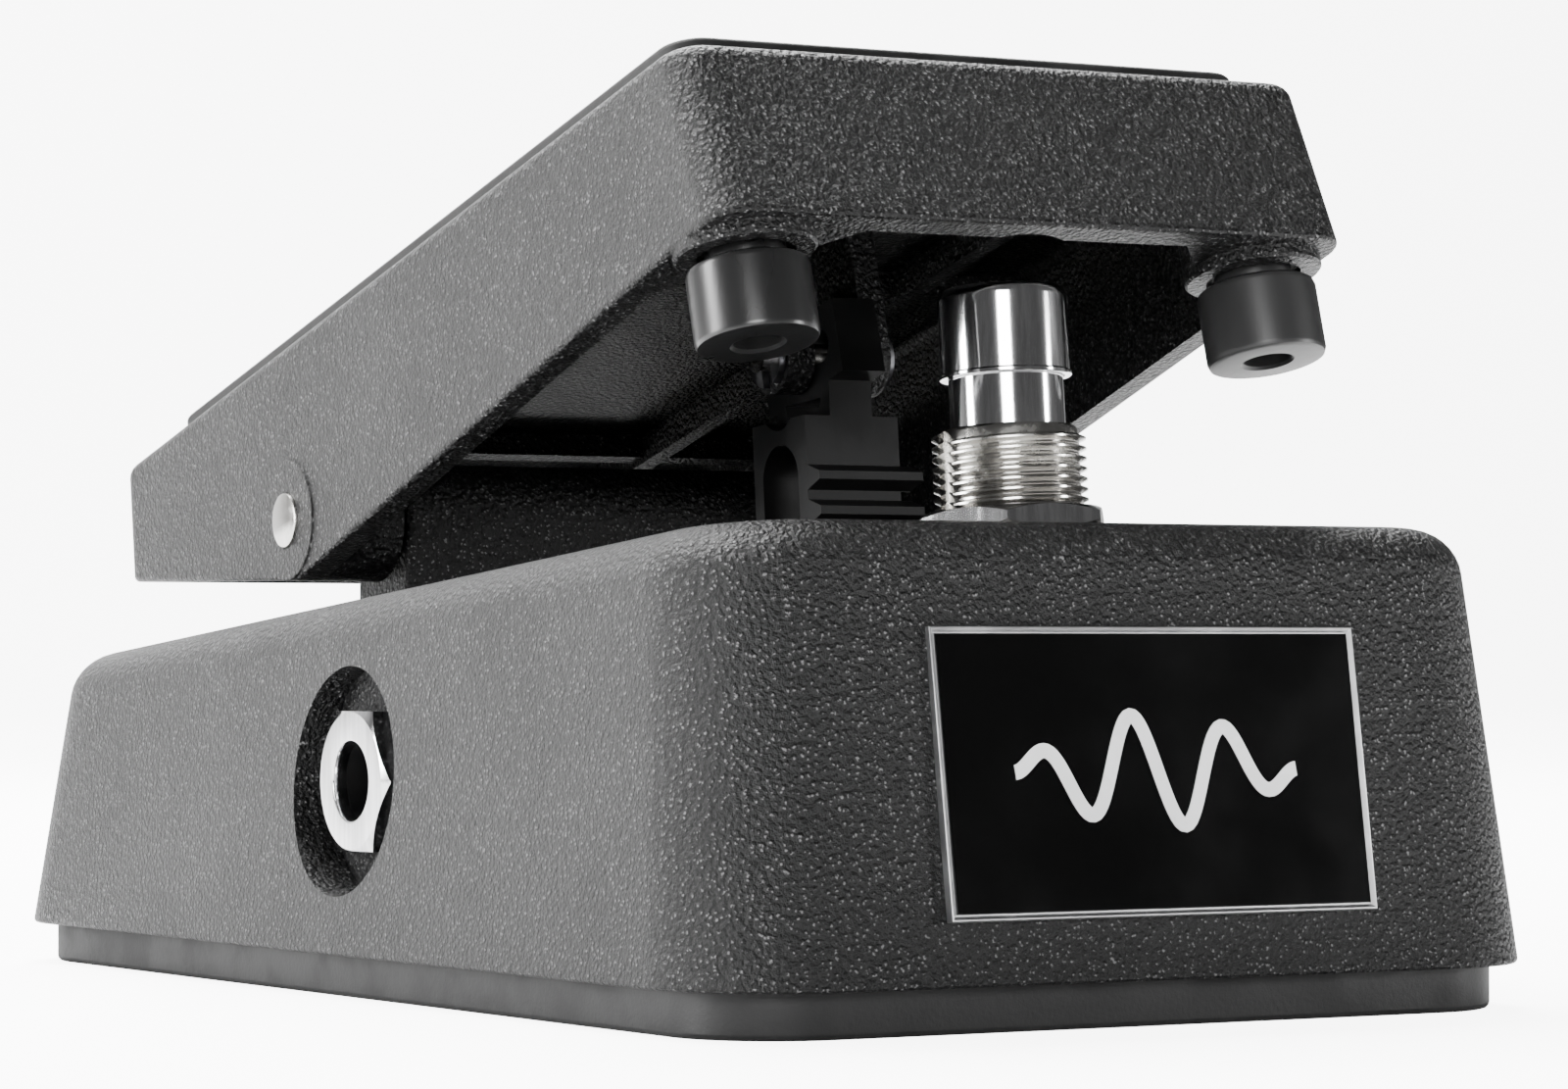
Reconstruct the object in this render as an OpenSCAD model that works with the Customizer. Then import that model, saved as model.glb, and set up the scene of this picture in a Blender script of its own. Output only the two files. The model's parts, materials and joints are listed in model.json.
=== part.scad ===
// Compact rocker (wah) effects pedal.  Toe end at -Y, heel end at +Y, +Z up.
// Origin: middle of the footprint, on the floor.

/* [Housing] */
// Width of the housing at its rim
housing_w = 76; // [72:0.5:82]
// Length of the housing at its rim
housing_l = 133; // [129:0.5:140]
// Height of the top panel above the floor, at mid length
panel_z = 32.3; // [31.5:0.1:34]
// Slope of the top panel, falling from toe to heel, in degrees
panel_slope = 4.8; // [4:0.1:5.5]
// Wall thickness of the castings
wall = 2.5; // [2.2:0.1:2.6]
// Thickness of the rubber base
rubber_h = 3.5; // [3:0.1:4]
// Inset of the rubber base from the rim
rubber_inset = 2.1; // [1.8:0.1:3]
// Plan radius of the housing's corners
corner_r = 11; // [9:0.5:12]
// Radius of the housing's top edge
edge_r = 3.5; // [2:0.25:4]

/* [Treadle] */
// Width of the treadle
treadle_w = 57.6; // [56:0.2:60]
// Length of the treadle's top, toe side of the hinge
toe_l = 74.7; // [73:0.1:76]
// Length of the treadle's top, heel side of the hinge
heel_l = 33.6; // [32:0.1:34.5]
// Height of the treadle's top above the hinge
tread_h = 14.8; // [14.5:0.1:16]
// Tilt of the treadle at rest, toe up, in degrees
treadle_tilt = 15.5; // [14.5:0.1:16]
// Thickness of the rubber mat
mat_t = 2.2; // [1.5:0.1:3]

/* [Hinge] */
// Distance of the hinge behind the middle of the housing
hinge_y = 23.8; // [23:0.1:25]
// Height of the hinge above the floor
hinge_z = 39.1; // [38.5:0.1:40]
// Diameter of the hinge pin
pin_d = 4.8; // [4:0.1:5]

/* [Drive] */
// Module of the rack and pinion
gear_m = 0.9; // [0.88:0.01:0.92]
// Teeth on the pinion
pinion_teeth = 14; // [14:1:14]
// Teeth on the rack
rack_teeth = 10; // [10:1:10]
// Width of the rack
rack_w = 8.8; // [8:0.1:9]

/* [Footswitch] */
// Outer diameter of the threaded bushing
bushing_d = 11.9; // [11.5:0.1:12]
// Diameter of the cap
cap_d = 10; // [9.6:0.1:10.4]
// Diameter of the plunger
plunger_d = 8.9; // [8.4:0.1:9]

/* [Jacks] */
// Bore of the audio jacks
jack_bore_d = 6.4; // [6.35:0.01:6.5]
// Diameter of the pockets round the audio jacks
pocket_d = 18.5; // [17:0.5:19]
// Height of the jacks above the floor
jack_z = 17.4; // [17:0.1:18]
// Position of the audio jacks along the housing
jack_y = -3.5; // [-4.5:0.1:-2.5]

/* [Hidden] */
$fn = 64;
half_w = housing_w / 2;
half_l = housing_l / 2;
top_inset_x = 2.6;
top_inset_toe = 4.4;
top_inset_heel = 3.8;
front_y = half_l - top_inset_toe;
rear_y = half_l - top_inset_heel;
plate_t = 1.2;
plate_top = rubber_h + plate_t;

// the toe face leans back from the rim to where it meets the rounded top edge
toe_dy = top_inset_toe + edge_r;
toe_dz = panel_z + front_y * tan(panel_slope) - edge_r - rubber_h - 1;
toe_lean = atan(toe_dy / toe_dz) - asin(edge_r / norm([toe_dy, toe_dz]));

badge_w = 37.8;
badge_h = 21.4;
badge_t = 0.8;
badge_z = 8.2;
badge_gap = 0.05;

post_x = 28;
post_y = 53.5;
post_d = 6;

// treadle, in its own frame: hinge at the origin, top level, toe at -Y
half_tw = treadle_w / 2;
front_low = [-77.7, 0.3];
kink = [-0.3, -5.45];
heel_low = [35.1, 4.8];
tread_skin = tread_h - wall;
tread_corner_r = 3.2;
bumper_u = -71.2;
bumper_x = 23.3;
bumper_d = 9.5;
bumper_h = 6.2;
bumper_low = -7.9;
neck_d = 6.2;
boss_d = 11;

// hinge block and its bushings
block_w = 39.4;
block_t = 10;
bush_d = 7;
bush_l = 5;
running = 0.05;

// rack and pinion, in the panel frame: origin on the panel at mid length, Z square to the panel
pitch = PI * gear_m;
addendum = 0.8;
dedendum = 1.1;
pinion_r = gear_m * pinion_teeth / 2;
rack_root_p = -23;
rack_back_p = -14.6;
rack_mid_p = (rack_root_p + rack_back_p) / 2;
rack_line_p = rack_root_p - dedendum;
top_tooth_n = 7.55;
pinion_p = rack_line_p - pinion_r;
pinion_n = top_tooth_n - 6.5 * pitch;
rack_foot_n = -19.6;
rack_shoulder_n = 12.6;
rack_head_n = 21.2;
tongue_w = 4;
hinge_p = hinge_y * cos(panel_slope) - (hinge_z - panel_z) * sin(panel_slope);
hinge_n = hinge_y * sin(panel_slope) + (hinge_z - panel_z) * cos(panel_slope);
eye_rise = 9;
eye_n = hinge_n + eye_rise;
eye_run = hinge_p - rack_mid_p;
eye_slope = atan(eye_rise / eye_run);
rack_pin_d = 2.5;
pot_x = 9.5;
pot_d = 12.4;
bracket_x = 7.2;
bracket_t = 1.2;

// footswitch, on the panel
switch_p = -46;
bushing_top = 8.6;
lip_n = 12.6;
cap_top = 19.6;
case_w = 16.4;
case_top = -5;
case_low = -17;

// jacks
floor_x = 33.3;
jack_nut_af = 11.2;
jack_nut_t = 2.7;
jack_body_l = 19;
power_y = 15.5;
power_z = 15.5;

board_top = -5;
board_t = 1.6;
board_low = board_top - board_t;

battery = [46, 26.2, 17.4];
battery_pos = [-24.7, 30.5, plate_top + 0.8];

// ---------------------------------------------------------------- helpers

module on_panel(p = 0) {
    translate([0, 0, panel_z]) rotate([-panel_slope, 0, 0]) translate([0, p, 0]) children();
}

module on_treadle() {
    translate([0, hinge_y, hinge_z]) rotate([-treadle_tilt, 0, 0]) children();
}

module on_toe_face() {
    translate([0, -half_l, rubber_h + 1]) rotate([90 - toe_lean, 0, 0]) children();
}

// extrude a [y, z] outline along X, centred
module slab(width) {
    rotate([90, 0, 90]) linear_extrude(width, center = true) children();
}

module bar_x(x0, x1, d) {
    translate([min(x0, x1), 0, 0]) rotate([0, 90, 0]) cylinder(d = d, h = abs(x1 - x0));
}

module hex_x(x0, x1, af) {
    translate([min(x0, x1), 0, 0]) rotate([0, 90, 0]) cylinder(d = af / cos(30), h = abs(x1 - x0), $fn = 6);
}

module rounded_rect(w, l, r) {
    union() {
        square([w - 2 * r, l], center = true);
        square([w, l - 2 * r], center = true);
        for (sx = [-1, 1], sy = [-1, 1])
            translate([sx * (w / 2 - r), sy * (l / 2 - r)]) circle(r);
    }
}

module left_and_right() {
    children();
    mirror([1, 0, 0]) children();
}

// a lead swept through a list of points, with a mitred ring of sides at each point
function unit(v) = v / norm(v);
function bend(points, i) = unit(
    (i > 0 ? unit(points[i] - points[i - 1]) : [0, 0, 0]) +
    (i < len(points) - 1 ? unit(points[i + 1] - points[i]) : [0, 0, 0]));
function across(t) = unit(cross(t, [0.31, 0.17, 0.12]));

module lead(points, d) {
    sides = 8;
    last = len(points) - 1;
    rings = [for (i = [0 : last]) let (t = bend(points, i), u = across(t), v = cross(t, u))
        for (k = [0 : sides - 1])
            points[i] + d / 2 * (cos(k * 360 / sides) * u + sin(k * 360 / sides) * v)];
    skin = [for (i = [0 : last - 1], k = [0 : sides - 1]) let (a = i * sides, n = (k + 1) % sides)
        [a + k, a + n, a + n + sides, a + k + sides]];
    ends = [[for (k = [sides - 1 : -1 : 0]) k], [for (k = [0 : sides - 1]) last * sides + k]];
    polyhedron(rings, concat(skin, ends));
}

// ---------------------------------------------------------------- housing

// a disc with a rounded upper edge, its top on z = 0
module puck(r, edge) {
    rotate_extrude($fn = 24) intersection() {
        translate([r - edge, -edge]) circle(edge, $fn = 20);
        translate([0, -edge]) square([r, edge]);
    }
}

// the drafted wedge: rim discs below, rounded pucks under the sloped panel above
module wedge(inset, low, edge) {
    r = corner_r - inset;
    hull() {
        for (sx = [-1, 1], sy = [-1, 1])
            translate([sx * (half_w - corner_r), sy * (half_l - corner_r), low])
                cylinder(r = r, h = 1, $fn = 32);
        for (sx = [-1, 1], end = [-front_y, rear_y])
            translate([0, 0, panel_z - inset]) rotate([-panel_slope, 0, 0])
                translate([sx * (half_w - top_inset_x - corner_r + 1.5), end - sign(end) * (corner_r - 1.5), 0])
                    puck(r - 1.5, edge);
    }
}

module housing() {
    color("#1d1d1f") difference() {
        union() {
            difference() {
                wedge(0, rubber_h, edge_r);
                wedge(wall, rubber_h - 1, 1.5);
            }
            // corner posts for the base screws
            for (sx = [-1, 1], sy = [-1, 1]) {
                top = panel_z - sy * post_y * sin(panel_slope) - 1.5;
                translate([sx * post_x, sy * post_y, plate_top]) cylinder(d = post_d, h = top - plate_top);
            }
            // floors of the jack pockets
            for (side = [-1, 1])
                translate([0, jack_y, jack_z])
                    bar_x(side * (floor_x - 2.4), side * (floor_x + 1.6), pocket_d + 4);
            translate([0, power_y, power_z]) bar_x(floor_x - 1, floor_x + 2, 15);
            // hinge block above the panel, tension boss below it
            translate([0, hinge_y, hinge_z]) slab(block_w) union() {
                circle(d = block_t);
                translate([-block_t / 2, panel_z - 4 - hinge_z]) square([block_t, hinge_z - panel_z + 4]);
            }
            translate([0, hinge_y, 21]) cylinder(d = 12, h = 8);
            // board pillars
            for (x = [-24, 24], p = [-6, 11.5])
                on_panel(p) translate([x, 0, board_top]) cylinder(d = 5, h = -board_top - 1.5);
        }
        for (sx = [-1, 1], sy = [-1, 1])
            translate([sx * post_x, sy * post_y, plate_top - 1]) cylinder(d = 2.5, h = 14);
        for (side = [-1, 1]) translate([0, jack_y, jack_z]) {
            bar_x(side * floor_x, side * (half_w + 5), pocket_d);
            bar_x(side * (floor_x - 6), side * (floor_x + 1), 9.1);
        }
        translate([0, power_y, power_z]) {
            bar_x(floor_x + 1.2, half_w + 5, 12);
            bar_x(floor_x - 6, floor_x + 3, 8.1);
        }
        // hinge bore and the tension screw's hole
        translate([0, hinge_y, hinge_z]) {
            bar_x(-block_w, block_w, pin_d + 2 * running);
            for (side = [-1, 1]) bar_x(side * (block_w / 2 - bush_l), side * block_w, bush_d);
        }
        translate([0, hinge_y, 15]) cylinder(d = 6, h = hinge_z - 15);
        // footswitch hole and the rack's opening
        on_panel(switch_p) translate([0, 0, -10]) cylinder(d = bushing_d + 0.1, h = 20);
        on_panel() translate([-6, rack_line_p - 2, -6]) cube([13.2, rack_back_p - rack_line_p + 3.5, 10]);
        for (x = [-24, 24], p = [-6, 11.5])
            on_panel(p) translate([x, 0, board_top - 1]) cylinder(d = 2, h = 5, $fn = 24);
        for (x = [-10.5, 10.5])
            on_panel(-11.8) translate([x, 0, -wall - 1]) cylinder(d = 2, h = 2.4, $fn = 24);
        for (p = bracket_screw_p)
            on_panel(p) translate([bracket_x + 6, 0, -wall - 1]) cylinder(d = 2, h = 2.4, $fn = 24);
    }
}

module base_plate() {
    color("silver") translate([0, 0, rubber_h]) difference() {
        linear_extrude(plate_t)
            rounded_rect(housing_w - 2 * wall - 0.5, housing_l - 2 * wall - 0.5, corner_r - wall);
        for (sx = [-1, 1], sy = [-1, 1])
            translate([sx * post_x, sy * post_y, -1]) cylinder(d = 3.2, h = 5);
    }
}

module rubber_base() {
    w = housing_w - 2 * rubber_inset;
    l = housing_l - 2 * rubber_inset;
    color("#161616") difference() {
        linear_extrude(rubber_h) rounded_rect(w, l, corner_r - rubber_inset);
        for (sx = [-1, 1], sy = [-1, 1]) translate([sx * post_x, sy * post_y, -1]) {
            cylinder(d = 7, h = rubber_h + 2);
        }
    }
}

module base_screws() {
    color("dimgray") for (sx = [-1, 1], sy = [-1, 1])
        translate([sx * post_x, sy * post_y, 0]) difference() {
            union() {
                translate([0, 0, 1.5]) cylinder(d = 5.6, h = rubber_h - 1.5);
                translate([0, 0, rubber_h]) cylinder(d = 2.5, h = 9);
            }
            for (a = [0, 90]) rotate(a) translate([-1.6, -0.35, 1]) cube([3.2, 0.7, 1.5]);
        }
}

module name_plate() {
    color("silver") on_toe_face() translate([0, badge_z - rubber_h - 1, badge_gap]) difference() {
        translate([-badge_w / 2, 0, 0]) cube([badge_w, badge_h, badge_t]);
        translate([-badge_w / 2 + 0.5, 0.5, badge_t - 0.3]) cube([badge_w - 1, badge_h - 1, 1]);
    }
}

module name_plate_inlay() {
    color("black") on_toe_face()
        translate([-badge_w / 2 + 0.5, badge_z - rubber_h - 0.5, badge_gap + badge_t - 0.3])
            cube([badge_w - 1, badge_h - 1, 0.2]);
}

// ---------------------------------------------------------------- hinge

module hinge_bushings() {
    color("ivory") translate([0, hinge_y, hinge_z]) left_and_right() difference() {
        bar_x(block_w / 2 - bush_l, block_w / 2 + 0.2, bush_d);
        bar_x(0, block_w, pin_d + 2 * running);
    }
}

module tension_pad() {
    color("ivory") difference() {
        translate([0, hinge_y, 32.5]) cylinder(d = 5.9, h = hinge_z - 32.5 - 0.6);
        translate([0, hinge_y, hinge_z]) bar_x(-5, 5, pin_d + 2 * running);
    }
}

module tension_screw() {
    color("gray") translate([0, hinge_y, 0]) difference() {
        translate([0, 0, 14.5]) cylinder(d = 6, h = 18);
        translate([0, 0, 14]) cylinder(d = 3.4, h = 3, $fn = 6);
    }
}

module tension_nut() {
    color("silver") translate([0, hinge_y, 18]) difference() {
        cylinder(d = 10 / cos(30), h = 3, $fn = 6);
        translate([0, 0, -1]) cylinder(d = 6, h = 5);
    }
}

module hinge_pin() {
    color("silver") translate([0, hinge_y, hinge_z]) bar_x(-half_tw - 0.45, half_tw + 0.45, pin_d);
}

// ---------------------------------------------------------------- treadle

module treadle_side() {
    polygon([[-toe_l, tread_h], front_low, kink, heel_low, [heel_l, tread_h]]);
}

module treadle_hollow() {
    polygon([[-toe_l + wall, tread_skin], [front_low.x + wall, -1], [front_low.x + wall, -12],
             [heel_low.x - wall, -12], [heel_low.x - wall, 4], [heel_l - wall, tread_skin]]);
}

module treadle() {
    span = heel_low.x - front_low.x;
    mid = (heel_low.x + front_low.x) / 2;
    color("#1d1d1f") on_treadle() difference() {
        union() {
            difference() {
                intersection() {
                    slab(treadle_w) treadle_side();
                    translate([0, mid, -20]) linear_extrude(60) rounded_rect(treadle_w, span, tread_corner_r);
                }
                slab(treadle_w - 2 * wall) treadle_hollow();
            }
            // corner gussets that carry the bumpers, flush with the rim
            intersection() {
                left_and_right() translate([0, 0, -3]) linear_extrude(6)
                    polygon([[half_tw - 1, front_low.x + 1.5], [13.5, front_low.x + 1.5],
                             [17.5, -71.5], [half_tw - 1, -60.5]]);
                slab(treadle_w) treadle_side();
            }
            left_and_right() translate([bumper_x, bumper_u, -0.9]) cylinder(d = boss_d, h = 3.9);
            // bosses for the hinge pin, inside and faintly outside
            left_and_right() bar_x(block_w / 2 + 0.5, half_tw - 1, 10.4);
            left_and_right() bar_x(half_tw - 1, half_tw + 0.25, 10.4);
            // lugs for the rack's pin
            left_and_right() intersection() {
                translate([2.4, -50, -20]) cube([2.4, 14, 40]);
                union() {
                    translate([0, eye_u, eye_w]) bar_x(0, 8, 6);
                    translate([0, eye_u - 3, eye_w]) cube([8, 6, tread_skin + 1 - eye_w]);
                }
            }
            // stiffening ribs under the top
            left_and_right() translate([14, -74, tread_skin - 2.5]) cube([1.8, 106, 3]);
            for (u = [-34, 12]) translate([-27, u, tread_skin - 2]) cube([54, 1.8, 2.5]);
        }
        bar_x(-half_tw - 5, half_tw + 5, pin_d);
        left_and_right() translate([bumper_x, bumper_u, -5]) {
            cylinder(d = neck_d, h = 20 - 12);
            cylinder(d = 7.6, h = 4.6);
        }
        translate([0, eye_u, eye_w]) bar_x(-8, 8, rack_pin_d);
        // relief in the toe wall for the footswitch at toe down
        translate([0, -69.1, 11.4]) rotate([-6.4, 0, 0]) translate([0, 0, -16])
            cylinder(d = cap_d + 0.8, h = 16.8);
    }
}

module tread_mat() {
    mat_front = -70.6;
    mat_rear = 25.4;
    mat_l = mat_rear - mat_front;
    color("#111111") on_treadle() translate([0, (mat_front + mat_rear) / 2, tread_h]) difference() {
        linear_extrude(mat_t) rounded_rect(treadle_w - 5, mat_l, 3);
        for (i = [-11 : 11])
            translate([-22, i * 4 - 0.6, mat_t - 0.7]) cube([44, 1.2, 2]);
    }
}

module bumper(side) {
    color("#1a1a1a") on_treadle() translate([side * bumper_x, bumper_u, bumper_low]) difference() {
        union() {
            cylinder(d = bumper_d, h = bumper_h);
            cylinder(d = neck_d, h = 3.2 - bumper_low - 0.2);
        }
        translate([0, 0, -1]) cylinder(d = 3.8, h = 4);
    }
}

module bumper_left() bumper(-1);
module bumper_right() bumper(1);

// place of the rack's pin, in the treadle's frame
eye_y = rack_mid_p * cos(panel_slope) + eye_n * sin(panel_slope) - hinge_y;
eye_z = panel_z - rack_mid_p * sin(panel_slope) + eye_n * cos(panel_slope) - hinge_z;
eye_u = eye_y * cos(treadle_tilt) - eye_z * sin(treadle_tilt);
eye_w = eye_y * sin(treadle_tilt) + eye_z * cos(treadle_tilt);

module rack_pin() {
    color("silver") on_treadle() translate([0, eye_u, eye_w]) bar_x(-6.2, 6.2, rack_pin_d);
}

module rack_pin_clips() {
    color("gray") on_treadle() translate([0, eye_u, eye_w]) left_and_right() difference() {
        bar_x(4.85, 5.45, 5);
        bar_x(4, 7, rack_pin_d);
        translate([4, -0.7, -4]) cube([3, 1.4, 4]);
    }
}

// ---------------------------------------------------------------- rack and pinion

tooth_half = pitch / 4 - 0.08;
flank = tan(20);

module rack_tooth(w) {
    slab(w) polygon([[0.2, tooth_half + dedendum * flank], [0, tooth_half + dedendum * flank],
        [-dedendum - addendum, tooth_half - addendum * flank],
        [-dedendum - addendum, -tooth_half + addendum * flank],
        [0, -tooth_half - dedendum * flank], [0.2, -tooth_half - dedendum * flank]]);
}

// round-ended slot through the web, from low to high, and the cup above it
module rack_slots(low, high, w) {
    r = w / 2;
    bridge = 1.2;
    slab(20) translate([rack_mid_p, 0]) union() {
        translate([-r, low + r]) square([w, high - low - w]);
        for (n = [low + r, high - r]) translate([0, n]) circle(r);
    }
    intersection() {
        translate([0, rack_mid_p, high + bridge + r]) bar_x(-10, 10, w);
        translate([-10, rack_mid_p - r, high]) cube([20, w, bridge + 2.4]);
    }
}

module rack() {
    depth = rack_back_p - rack_root_p;
    eye_travel = 3.1;
    color("#151515") on_panel() difference() {
        union() {
            translate([-rack_w / 2, rack_root_p, rack_foot_n])
                cube([rack_w, depth, rack_shoulder_n - rack_foot_n]);
            for (i = [0 : rack_teeth - 1])
                translate([0.5, rack_root_p, top_tooth_n - i * pitch]) rack_tooth(rack_w + 1);
            translate([-tongue_w / 2, rack_root_p, 10]) cube([tongue_w, depth, rack_head_n - 10]);
            // head round the slotted eye, which points at the hinge
            translate([0, rack_mid_p, eye_n]) rotate([-eye_slope, 0, 0])
                translate([-tongue_w / 2, -6, -3.1]) cube([tongue_w, 12, 6.2]);
        }
        rack_slots(-17.5, 10.6, 5.6);
        translate([0, rack_mid_p, eye_n]) rotate([-eye_slope, 0, 0]) slab(20) union() {
            square([2 * eye_travel, rack_pin_d + 0.3], center = true);
            for (s = [-1, 1]) translate([s * eye_travel, 0]) circle(d = rack_pin_d + 0.3);
        }
    }
}

base_r = pinion_r * cos(20);
function involute(t, a) = [base_r * (cos(a + t) + t * PI / 180 * sin(a + t)),
                           base_r * (sin(a + t) - t * PI / 180 * cos(a + t))];
function roll(r) = r <= base_r ? 0 : sqrt((r / base_r) * (r / base_r) - 1) * 180 / PI;
// half angle of a tooth at its base circle
tooth_angle = 90 / pinion_teeth - 0.12 / pinion_r * 180 / PI + (tan(20) * 180 / PI - 20);

module pinion_outline() {
    root_r = pinion_r - dedendum;
    tip_r = pinion_r + addendum - 0.1;
    steps = 5;
    union() {
        circle(root_r);
        for (i = [0 : pinion_teeth - 1]) rotate(i * 360 / pinion_teeth)
            polygon(concat(
                [[root_r * 0.9, -root_r * sin(tooth_angle)]],
                [for (k = [0 : steps]) involute(roll(tip_r) * k / steps, -tooth_angle)],
                [for (k = [steps : -1 : 0]) let (q = involute(roll(tip_r) * k / steps, -tooth_angle)) [q.x, -q.y]],
                [[root_r * 0.9, root_r * sin(tooth_angle)]]));
    }
}

module pinion() {
    color("ivory") on_panel() translate([0, pinion_p, pinion_n]) difference() {
        union() {
            slab(7) pinion_outline();
            bar_x(3.5, 5.2, 9);
        }
        bar_x(-5, 7, 6);
    }
}

module pot_shaft() {
    color("silver") on_panel() translate([0, pinion_p, pinion_n]) bar_x(-4, pot_x + 1, 6);
}

module pot_case() {
    color("silver") on_panel() translate([0, pinion_p, pinion_n]) difference() {
        bar_x(pot_x, pot_x + 8.5, pot_d);
        bar_x(pot_x - 1, pot_x + 1.3, 6 + 2 * running);
    }
}

module pot_bushing() {
    color("goldenrod") on_panel() translate([0, pinion_p, pinion_n]) difference() {
        bar_x(bracket_x - 1.9, pot_x, 7.4);
        bar_x(0, pot_x + 1, 6 + 2 * running);
    }
}

module pot_nut() {
    color("silver") on_panel() translate([0, pinion_p, pinion_n]) difference() {
        hex_x(bracket_x - 1.6, bracket_x, 10);
        bar_x(0, pot_x, 7.4);
    }
}

module pot_terminals() {
    color("silver") on_panel() translate([0, pinion_p, pinion_n])
        for (s = [-1, 0, 1]) translate([pot_x + 1, s * 3.4 - 0.8, -pot_d / 2 - 3.6]) cube([0.6, 1.6, 4.2]);
}

bracket_screw_p = [pinion_p - 3.6, pinion_p + 3.6];

module pot_bracket() {
    color("gray") on_panel() difference() {
        union() {
            translate([bracket_x, pinion_p - 6.2, pinion_n - 7])
                cube([bracket_t, 12.4, -wall - pinion_n + 7]);
            translate([bracket_x, pinion_p - 6.2, -wall - bracket_t]) cube([9.6, 12.4, bracket_t]);
        }
        translate([0, pinion_p, pinion_n]) bar_x(0, 20, 7.4);
        for (p = bracket_screw_p)
            translate([bracket_x + 6, p, -10]) cylinder(d = 2.2, h = 10, $fn = 24);
    }
}

module bracket_screws() {
    color("silver") on_panel() {
        for (p = bracket_screw_p) translate([bracket_x + 6, p, 0]) {
            translate([0, 0, -wall - bracket_t]) cylinder(d = 2, h = bracket_t + 1.2, $fn = 24);
            translate([0, 0, -wall - bracket_t - 1]) cylinder(d = 3.4, h = 1);
        }
        for (x = [-10.5, 10.5]) translate([x, -11.8, 0]) {
            translate([0, 0, -wall - 1.5]) cylinder(d = 2, h = 2.7, $fn = 24);
            translate([0, 0, -wall - 2.5]) cylinder(d = 3.4, h = 1);
        }
    }
}

module rack_guide() {
    gap = 0.12;
    color("ivory") on_panel() difference() {
        union() {
            translate([-7, rack_back_p - 4, -16]) cube([14, 4 + gap + 2.2, 16 - wall]);
            translate([-12.5, rack_back_p + gap, -wall - 1.5]) cube([25, 5.3, 1.5]);
        }
        translate([-rack_w / 2 - gap, rack_back_p - 10, -20]) cube([rack_w + 2 * gap, 10 + gap, 20]);
        for (x = [-10.5, 10.5]) translate([x, -11.8, -10]) cylinder(d = 2.1, h = 10, $fn = 24);
    }
}

// ---------------------------------------------------------------- footswitch

module footswitch_bushing() {
    color("silver") on_panel(switch_p) difference() {
        translate([0, 0, case_top]) cylinder(d = bushing_d, h = bushing_top - case_top);
        translate([0, 0, case_top - 1]) cylinder(d = plunger_d + 2 * running, h = 30);
        // keyway down one side
        rotate(180) translate([bushing_d / 2 - 0.7, -0.9, case_top - 1]) cube([2, 1.8, 30]);
    }
}

module footswitch_case() {
    color("#2a2a2a") on_panel(switch_p) difference() {
        translate([-case_w / 2, -case_w / 2, case_low]) cube([case_w, case_w, case_top - case_low]);
        translate([0, 0, case_low + 1.5]) cylinder(d = plunger_d + 2 * running, h = 30);
    }
}

module hex_ring(af, bore, h) {
    difference() {
        cylinder(d = af / cos(30), h = h, $fn = 6);
        translate([0, 0, -1]) cylinder(d = bore, h = h + 2);
    }
}

module footswitch_nut() {
    color("silver") on_panel(switch_p) translate([0, 0, 0.4]) rotate(-6) hex_ring(13.8, bushing_d, 1.8);
}

module footswitch_washer() {
    color("silver") on_panel(switch_p) difference() {
        cylinder(d = 15.4, h = 0.4);
        translate([0, 0, -1]) cylinder(d = bushing_d + 0.1, h = 3);
    }
}

module footswitch_lower_nut() {
    color("silver") on_panel(switch_p) translate([0, 0, -wall - 2]) hex_ring(14, bushing_d, 2);
}

module footswitch_terminals() {
    color("gold") on_panel(switch_p)
        for (i = [-1, 0, 1], j = [-1, 1])
            translate([j * 3.6 - 1, i * 4.8 - 0.3, case_low - 4]) cube([2, 0.6, 4]);
}

module footswitch_spring() {
    turns = 5;
    wire_d = 0.8;
    low = case_low + 1.5 + wire_d / 2;
    high = -9 - wire_d / 2;
    color("silver") on_panel(switch_p) for (i = [0 : turns - 1])
        translate([0, 0, low + (high - low) * i / (turns - 1)])
            rotate_extrude() translate([3, 0]) circle(d = wire_d);
}

module plunger() {
    color("silver") on_panel(switch_p) translate([0, 0, -9]) difference() {
        cylinder(d = plunger_d, h = lip_n + 2 + 9);
        translate([0, 0, -1]) cylinder(d = 5, h = 4);
    }
}

module plunger_cap() {
    color("gainsboro") on_panel(switch_p) difference() {
        union() {
            translate([0, 0, lip_n]) cylinder(d = cap_d, h = cap_top - lip_n - 0.8);
            translate([0, 0, lip_n]) cylinder(d = cap_d + 0.25, h = 0.4);
            translate([0, 0, cap_top - 0.8]) rotate_extrude() union() {
                square([cap_d / 2 - 0.8, 0.8]);
                translate([cap_d / 2 - 0.8, 0]) intersection() {
                    circle(0.8);
                    square(0.8);
                }
            }
        }
        translate([0, 0, lip_n - 1]) cylinder(d = plunger_d, h = 3);
    }
}

// ---------------------------------------------------------------- jacks

module audio_jack(side) {
    color("#202020") translate([0, jack_y, jack_z]) difference() {
        union() {
            bar_x(side * (floor_x - 2.4), side * (floor_x + 1.5), 9);
            mirror([side > 0 ? 0 : 1, 0, 0])
                translate([floor_x - 2.4 - jack_body_l, -7.4, -7.4]) cube([jack_body_l, 14.8, 14.8]);
        }
        bar_x(side * (floor_x - 17), side * (floor_x + 2), jack_bore_d);
        // relief for the tip contact
        mirror([side > 0 ? 0 : 1, 0, 0]) translate([floor_x - 18, -1.5, 0]) cube([8, 3, 6]);
    }
}

module input_jack() audio_jack(-1);
module output_jack() audio_jack(1);

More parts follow.
